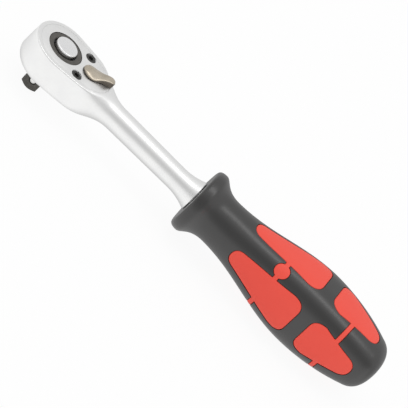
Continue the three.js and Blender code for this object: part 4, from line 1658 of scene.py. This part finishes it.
@dataclass
class Handle:
    """Moulded handle: a black core with red pads in four rows."""

    datum: Datum
    front_x: float = 67.8
    face_radius: float = 11.0
    flange_radius: float = 12.85
    flange_x: float = 70.8
    flange_hold: float = 0.24
    neck_radius: float = 9.15
    neck_x: float = 80.3
    neck_hold: float = 0.32
    rise_hold: float = 0.365
    belly_radius: float = 15.25
    belly_x: float = 122.5
    belly_hold: float = 0.415
    tail_radius: float = 10.8
    tail_x: float = 149.0
    tail_hold: float = 0.226
    tail_lift: float = 0.485
    dome_reach: float = 0.46
    dome_shoulder: float = 0.93
    dome_end: float = 0.72
    end_x: float = 155.3
    squareness: float = 0.055
    square_from: float = 82.0
    square_full: float = 108.0
    square_fade: float = 136.0
    square_at_end: float = 0.35
    sides: int = 128
    face_steps: int = 3
    flange_steps: int = 12
    curve_steps: int = 22
    settle_rounds: int = 8
    inlay_depth: float = 1.4
    pocket_depth: float = 1.6
    over: float = 1.0
    seam: float = 0.13
    rim: float = 0.4
    rim_insets: tuple[float, ...] = (0.0, 0.03, 0.1, 0.2, 0.34)
    lap: float = 0.03
    bridge_width: float = 1.9
    bridge_steps: int = 24
    front_bridge_x: float = 106.6
    rear_bridge_x: float = 137.1
    boss_radius: float = 2.9
    boss_rings: tuple[float, ...] = (0.02, 0.25, 0.5, 0.75, 0.88, 0.95, 0.985, 1.0)
    boss_steps: int = 48
    tang_room: float = 3.85
    tang_room_end: float = 125.8
    tang_steps: int = 48
    rows: int = 4
    unbridged_corner: int = 0
    long_pad: tuple[float, float, float, float] = (90.0, 120.9, 3.7, 7.8)
    short_pad: tuple[float, float, float, float] = (126.4, 148.0, 7.6, 4.4)
    narrow_end: float = 0.82
    wide_bulge: float = 1.1
    long_turn: float = 0.1
    short_turn: float = 0.23
    rear_turn: float = 0.19
    narrow_steps: int = 12
    wide_steps: int = 14
    long_steps: int = 36
    short_steps: int = 24
    inner_steps: int = 18
    drawn: list[Vector] = field(init=False)

    def __post_init__(self) -> None:
        """Draws the profile once."""
        self.drawn = self.profile()

    def profile(self) -> list[Vector]:
        """Draws the handle's edge over its corners.

        Returns:
            X and radius of each point.
        """
        rise = (self.belly_x - self.neck_x) * self.rise_hold
        line = Outline(self.front_x, 0.0).line(self.front_x, self.face_radius, self.face_steps)
        line.bend(
            (self.front_x, self.flange_radius), (self.flange_x, self.flange_radius), self.flange_steps
        )
        line.curve(
            (mix(self.flange_x, self.neck_x, self.flange_hold), self.flange_radius),
            (mix(self.flange_x, self.neck_x, self.neck_hold), self.neck_radius),
            (self.neck_x, self.neck_radius),
            self.curve_steps,
        )
        line.curve(
            (self.neck_x + rise, self.neck_radius),
            (self.belly_x - rise, self.belly_radius),
            (self.belly_x, self.belly_radius),
            2 * self.curve_steps,
        )
        line.curve(
            (mix(self.belly_x, self.tail_x, self.belly_hold), self.belly_radius),
            (
                mix(self.tail_x, self.belly_x, self.tail_hold),
                mix(self.tail_radius, self.belly_radius, self.tail_lift),
            ),
            (self.tail_x, self.tail_radius),
            self.curve_steps,
        )
        line.curve(
            (mix(self.tail_x, self.end_x, self.dome_reach), self.dome_shoulder * self.tail_radius),
            (self.end_x, self.dome_end * self.tail_radius),
            (self.end_x, 0.0),
            self.curve_steps,
        )
        return line.points

    def drawn_in(self, x: float, angle: float) -> float:
        """Returns the share of the corner radius that a section has.

        Args:
            x: Place along the handle.
            angle: Angle from the top.

        Returns:
            The share, which is 1 at the corners.
        """
        grown = smooth_step(self.square_from, self.square_full, x)
        faded = smooth_step(self.square_fade, self.end_x, x)
        lobe = self.squareness * grown * (1 - (1 - self.square_at_end) * faded)
        return (1 - lobe * math.cos(self.rows * angle)) / (1 + lobe)

    def at_angle(self, x: float, angle: float, depth: float) -> Vector:
        """Returns a point under the skin at an angle from the top, from the shank's axis."""
        radius = read_off(self.drawn, x) * self.drawn_in(x, angle) - depth
        return Vector((x, radius * math.sin(angle), radius * math.cos(angle)))

    def on_skin(self, x: float, sideways: float, depth: float) -> Vector:
        """Returns a point under the skin of the top row.

        Args:
            x: Place along the handle.
            sideways: Distance from the middle of the row, square to it.
            depth: Depth under the skin, negative above it.

        Returns:
            The point, from the shank's axis.
        """
        radius = read_off(self.drawn, x)
        angle = 0.0
        for _ in range(self.settle_rounds):
            angle = math.asin(min(max(sideways / (radius * self.drawn_in(x, angle)), -1.0), 1.0))
        return self.at_angle(x, angle, depth)

    def long_outline(self) -> list[Vector]:
        """Draws one side of a long pad.

        Returns:
            X and half width of each point.
        """
        front, rear, front_half, rear_half = self.long_pad
        span = rear - front
        line = Outline(front, 0.0)
        turned = (front + self.long_turn * span, front_half)
        line.bend((front, self.narrow_end * front_half), turned, self.narrow_steps)
        line.line(rear - self.rear_turn * span, rear_half, self.long_steps)
        return line.bend((rear, self.wide_bulge * rear_half), (rear, rear_half / 2), self.wide_steps).points

    def short_outline(self) -> list[Vector]:
        """Draws one side of a short pad.

        Returns:
            X and half width of each point.
        """
        front, rear, front_half, rear_half = self.short_pad
        span = rear - front
        line = Outline(front, front_half / 2)
        line.bend((front, front_half), (front + self.short_turn * span, front_half), self.wide_steps)
        line.line(rear - self.rear_turn * span, rear_half, self.short_steps)
        return line.bend((rear, self.narrow_end * rear_half), (rear, 0.0), self.narrow_steps).points

    def pad(self, outline: list[Vector], fit: Fit) -> Blank:
        """Makes one pad of the top row, or its pocket.

        Args:
            outline: X and half width along the pad.
            fit: How it lies in the skin.

        Returns:
            The closed pad, from the shank's axis.
        """
        front, rear = outline[0].x, outline[-1].x
        grown = []
        for point in outline:
            outward = fit.margin if point.x > (front + rear) / 2 else -fit.margin
            end_share = max(1 - min(point.x - front, rear - point.x), 0.0)
            grown.append(Vector((point.x + outward * end_share, point.y + fit.margin)))
        insets = self.rim_insets if fit.rim else (0.0, self.rim)
        border = grown + [Vector((point.x, -point.y)) for point in reversed(grown)]
        border.append(border[0])

        def place(row: int, column: int) -> Vector:
            """Places one point of the pad's upper side.

            Args:
                row: Step along the pad.
                column: Step across it.

            Returns:
                The point.
            """
            x, width = grown[row]
            y = across(width, column, insets, self.inner_steps)
            fall = rounded(fit.rim, distance_to(border, Vector((x, y)))) if fit.rim else 0.0
            return self.on_skin(x, y, fall - fit.high)

        columns = 2 * len(insets) + self.inner_steps - 1
        return Blank.sheet(len(grown), columns, place).thickened(fit.sunk)

    def bridge(self, outline: list[Vector], x: float, fit: Fit) -> Blank:
        """Makes the strip that joins two pads over the first corner, or its pocket.

        Args:
            outline: X and half width along a pad.
            x: Place of the bridge along the handle.
            fit: How it lies in the skin.

        Returns:
            The closed strip, from the shank's axis.
        """
        half = self.bridge_width / 2 + fit.margin
        insets = self.rim_insets if fit.rim else (0.0,)
        offsets = [i - half for i in insets] + [half - i for i in reversed(insets)]
        inside = read_off(outline, x) - 2 * self.rim
        reach = CORNER - math.asin(inside / read_off(self.drawn, x))

        def place(row: int, column: int) -> Vector:
            """Places one point of the strip's upper side.

            Args:
                row: Step round the handle.
                column: Step along it.

            Returns:
                The point.
            """
            offset = offsets[column]
            angle = mix(CORNER - reach, CORNER + reach, row / self.bridge_steps)
            return self.at_angle(x + offset, angle, rounded(fit.rim, half - abs(offset)) - fit.high)

        return Blank.sheet(self.bridge_steps + 1, len(offsets), place).thickened(fit.sunk)

    def boss(self, fit: Fit) -> Blank:
        """Makes the round boss on the corner that faces up and to the near side, or its pocket.

        Args:
            fit: How it lies in the skin.

        Returns:
            The closed boss, from the shank's axis.
        """
        radius = self.boss_radius + fit.margin
        middle = self.boss_rings[0] * radius

        def place(row: int, column: int) -> Vector:
            """Places one point of the boss's upper side.

            Args:
                row: Ring of the boss.
                column: Step round it.

            Returns:
                The point.
            """
            out = radius * self.boss_rings[row]
            angle = FULL_TURN * column / self.boss_steps
            x = self.front_bridge_x + out * math.cos(angle)
            around = -CORNER + out * math.sin(angle) / read_off(self.drawn, x)
            return self.at_angle(x, around, rounded(fit.rim, radius - out) - fit.high)

        sheet = Blank.sheet(len(self.boss_rings), self.boss_steps + 1, place)
        bmesh.ops.remove_doubles(sheet.bm, verts=sheet.bm.verts, dist=WELD_MM)
        hole = [edge for edge in sheet.bm.edges if edge.is_boundary and edge.calc_length() < middle]
        bmesh.ops.contextual_create(sheet.bm, geom=hole)
        return sheet.thickened(fit.sunk)

    def inlay_parts(self, inlay: Inlay, fit: Fit) -> list[Blank]:
        """Makes four pads with bridges over all corners but one, and the boss of the front inlay.

        Args:
            inlay: Which inlay.
            fit: How its parts lie in the skin.

        Returns:
            The closed parts, in place.
        """
        front = inlay is Inlay.FRONT
        outline = self.long_outline() if front else self.short_outline()
        bridge_x = self.front_bridge_x if front else self.rear_bridge_x
        parts = []
        for corner in range(self.rows):
            turn = Matrix.Rotation(FULL_TURN * corner / self.rows, 4, "X")
            parts.append(self.pad(outline, fit).moved(turn))
            if corner != self.unbridged_corner:
                parts.append(self.bridge(outline, bridge_x, fit.lapped(-self.lap)).moved(turn))
        if front:
            parts.append(self.boss(fit.lapped(self.lap)))
        return [part.at(0, 0, self.datum.shank) for part in parts]

    def core(self) -> Blank:
        """Turns the black core and cuts its pockets.

        Returns:
            The core, in place.
        """
        core = Blank.turned([(point.y, point.x) for point in self.drawn], self.sides, Axis.SHANK)
        for vert in core.bm.verts:
            vert.co.yz = vert.co.yz * self.drawn_in(vert.co.x, math.atan2(vert.co.y, vert.co.z))
        front = self.front_x - self.over
        tang = Blank.drum(self.tang_room, front, self.tang_room_end, self.tang_steps, Axis.SHANK)
        pocket = Fit(self.seam, self.over, self.pocket_depth, 0.0)
        pockets = [part for inlay in Inlay for part in self.inlay_parts(inlay, pocket)]
        return core.at(0, 0, self.datum.shank).cut(*pockets, tang.at(0, 0, self.datum.shank))

    def build(self) -> list[bpy.types.Object]:
        """Builds and dresses the core and its two inlays.

        Returns:
            The three pieces.
        """
        core = self.core().finished("handle_moulding")
        pieces = [dress(core, BLACK_PLASTIC, "tool_body", "handle_core")]
        fit = Fit(0.0, 0.0, self.inlay_depth, self.rim)
        for inlay, node in ((Inlay.FRONT, "grip_inlay_front"), (Inlay.REAR, "grip_inlay_rear")):
            first, *rest = self.inlay_parts(inlay, fit)
            piece = first.joined(*rest).finished(inlay.value)
            pieces.append(dress(piece, RED_RUBBER, "tool_body", node))
        return pieces


@dataclass
class InnerWorks:
    """Solids of the frame that stay as they are, each with its own finish."""

    nodes: dict[str, bpy.types.Object]
    finishes: dict[str, Finish] = field(
        default_factory=lambda: {
            "gear_thrust_washer": SPRING_STEEL,
            "release_pin": BRIGHT_STEEL,
            "release_spring": SPRING_STEEL,
            "button_retaining_ring": SPRING_STEEL,
            "pawl": BRIGHT_STEEL,
            "pawl_plunger": BRIGHT_STEEL,
            "pawl_plunger_spring": SPRING_STEEL,
            "lever_retaining_clip": SPRING_STEEL,
            "lever_seal_ring": BLACK_RUBBER,
        }
    )

    def build(self) -> list[bpy.types.Object]:
        """Gives each solid its finish.

        Returns:
            The solids.
        """
        for name, finish in self.finishes.items():
            materials = self.nodes[name].data.materials
            materials.clear()
            materials.append(finish.material())
        return [self.nodes[name] for name in self.finishes]


@dataclass
class Studio:
    """Pale floor, soft light and the camera of the photograph."""

    datum: Datum
    frame_width: float = 140.9
    centre_x: float = 71.85
    centre_up: float = 0.33
    elevation_deg: float = 33.0
    azimuth_deg: float = -4.0
    roll_deg: float = 44.62
    distance: float = 4000.0
    sensor: float = 36.0
    clip: Point = (0.01, 200.0)
    floor_size: float = 60.0
    floor_colour: Colour = (0.9, 0.9, 0.9, 1.0)
    floor_white: float = 0.93
    floor_mirrored: float = 0.97
    under_y: Point = (-0.015, 0.002)
    under_x: Point = (-0.04, -0.014)
    # Painted shadow: brightness of the floor that metal mirrors under the tool.
    painted_shadow_level: float = 0.6
    room_level: float = 0.86
    band_places: tuple[float, ...] = (0.0, 0.1, 0.26, 0.36, 0.5, 0.65, 0.82, 1.0)
    band_levels: tuple[float, ...] = (0.86, 0.58, 0.54, 0.82, 0.9, 0.84, 0.72, 0.76)
    lamp_place: tuple[float, float, float] = (0.07, -0.03, 0.8)
    lamp_size: Point = (1.2, 0.17)
    lamp_watts: float = 1.1

    def camera(self) -> None:
        """Sets the camera at the photograph's angle."""
        data = bpy.data.cameras.new("studio_camera")
        data.sensor_width = self.sensor
        data.lens = self.sensor * self.distance / self.frame_width
        data.clip_start, data.clip_end = self.clip
        lift, turn, roll = map(math.radians, (self.elevation_deg, self.azimuth_deg, self.roll_deg))
        back = Vector((math.cos(lift) * math.sin(turn), -math.cos(lift) * math.cos(turn), math.sin(lift)))
        along = (Axis.SHANK.value - back * back.x).normalized()
        over = back.cross(along)
        target = Vector((self.centre_x, 0.0, self.datum.shank)) + over * self.centre_up
        right = along * math.cos(roll) + over * math.sin(roll)
        up = over * math.cos(roll) - along * math.sin(roll)
        facing = Matrix((right, up, back)).transposed().to_4x4()
        camera = in_scene("studio_camera", data)
        camera.matrix_world = Matrix.Translation((target + back * self.distance) * MM) @ facing
        bpy.context.scene.camera = camera

    def floor_surface(self, shader: Shader) -> Value:
        """Returns the floor: white paper, which metal mirrors dimmer under the tool as a painted shadow.

        Args:
            shader: The tree that it is written in.

        Returns:
            The floor's surface.
        """
        glossy = shader.ray(Ray.GLOSSY)
        paper = shader.node("ShaderNodeBsdfDiffuse", {}, {"Color": self.floor_colour}, "BSDF")
        white, painted_shadow = (
            shader.node("ShaderNodeEmission", {}, {"Color": WHITE, "Strength": level}, "Emission")
            for level in (1.0, self.painted_shadow_level)
        )
        here = shader.here()
        across_tool = shader.between(shader.part(here, "Y"), self.under_y)
        # Painted shadow: glossy rays see a dimmer floor under the tool.
        under = glossy * across_tool * shader.between(shader.part(here, "X"), self.under_x)
        mirrored = (glossy + shader.ray(Ray.THROUGH)) * self.floor_mirrored
        share = shader.ray(Ray.CAMERA) * self.floor_white + mirrored
        return shader.chosen(share, paper, shader.chosen(under, white, painted_shadow))

    def floor(self) -> None:
        """Lays the pale floor, which keeps a faint shadow."""
        blank = Blank()
        bmesh.ops.create_grid(blank.bm, x_segments=2, y_segments=2, size=self.floor_size / 2)
        floor = blank.bench_object("studio_floor")
        material = bpy.data.materials.new("pale_floor")
        material.use_nodes = True
        shader = Shader(material.node_tree)
        shader.node("ShaderNodeOutputMaterial", {}, {"Surface": self.floor_surface(shader)})
        floor.data.materials.append(material)

    def world(self) -> None:
        """Lights the room: white to the camera, even to dull surfaces, and banded in a mirror."""
        world = bpy.data.worlds.new("studio_room")
        bpy.context.scene.world = world
        world.use_nodes = True
        shader = Shader(world.node_tree)
        way = shader.node("ShaderNodeTexCoord", output="Generated")
        facing = {0: shader.part(way, "Z"), 1: shader.part(way, "Y") * -1.0}
        turn = shader.node("ShaderNodeMath", {"operation": "ARCTAN2"}, facing) / math.pi
        levels = zip(self.band_places, self.band_levels)
        stops = [(place, (level, level, level, 1.0)) for place, level in levels]
        banded = shader.node("ShaderNodeValToRGB", {"stops": stops}, {0: turn}, "Color")
        white, room, mirrored = (
            shader.node("ShaderNodeBackground", {}, {"Color": colour, "Strength": level}, "Background")
            for colour, level in ((WHITE, 1.0), (WHITE, self.room_level), (banded, 1.0))
        )
        direct = shader.chosen(shader.ray(Ray.CAMERA), room, white)
        mixed = shader.chosen(shader.ray(Ray.GLOSSY), direct, mirrored)
        shader.node("ShaderNodeOutputWorld", {}, {"Surface": mixed})

    def lamp(self) -> None:
        """Hangs one long soft lamp that faces the tool."""
        data = bpy.data.lights.new("key_lamp", "AREA")
        data.shape = "RECTANGLE"
        data.size, data.size_y = self.lamp_size
        data.energy = self.lamp_watts
        spot = Vector(self.lamp_place)
        aim = Vector((self.centre_x, 0.0, self.datum.shank)) * MM
        facing = (aim - spot).to_track_quat("-Z", "Y").to_matrix().to_4x4()
        in_scene("key_lamp", data).matrix_world = Matrix.Translation(spot) @ facing

    def build(self) -> None:
        """Sets the camera, the floor, the room and the lamp."""
        self.camera()
        self.floor()
        self.world()
        self.lamp()
        bpy.context.scene.view_settings.view_transform = "Standard"


def main() -> None:
    """Builds every piece round the frame, sets the studio and notes the sizes."""
    logging.basicConfig(level=logging.INFO, format="%(message)s")
    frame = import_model()
    datum = Datum()
    plans = PlanOutlines(datum)
    makers = (
        ForgedBody(datum, plans),
        CoverPlate(datum, plans),
        DriveWheel(datum),
        ThumbLever(datum),
        Handle(datum),
        InnerWorks(frame["nodes"]),
    )
    for maker in makers:
        for piece in maker.build():
            LOG.info("%s: %d faces", piece.name, len(piece.data.polygons))
    Studio(datum).build()


if __name__ == "__main__":
    main()
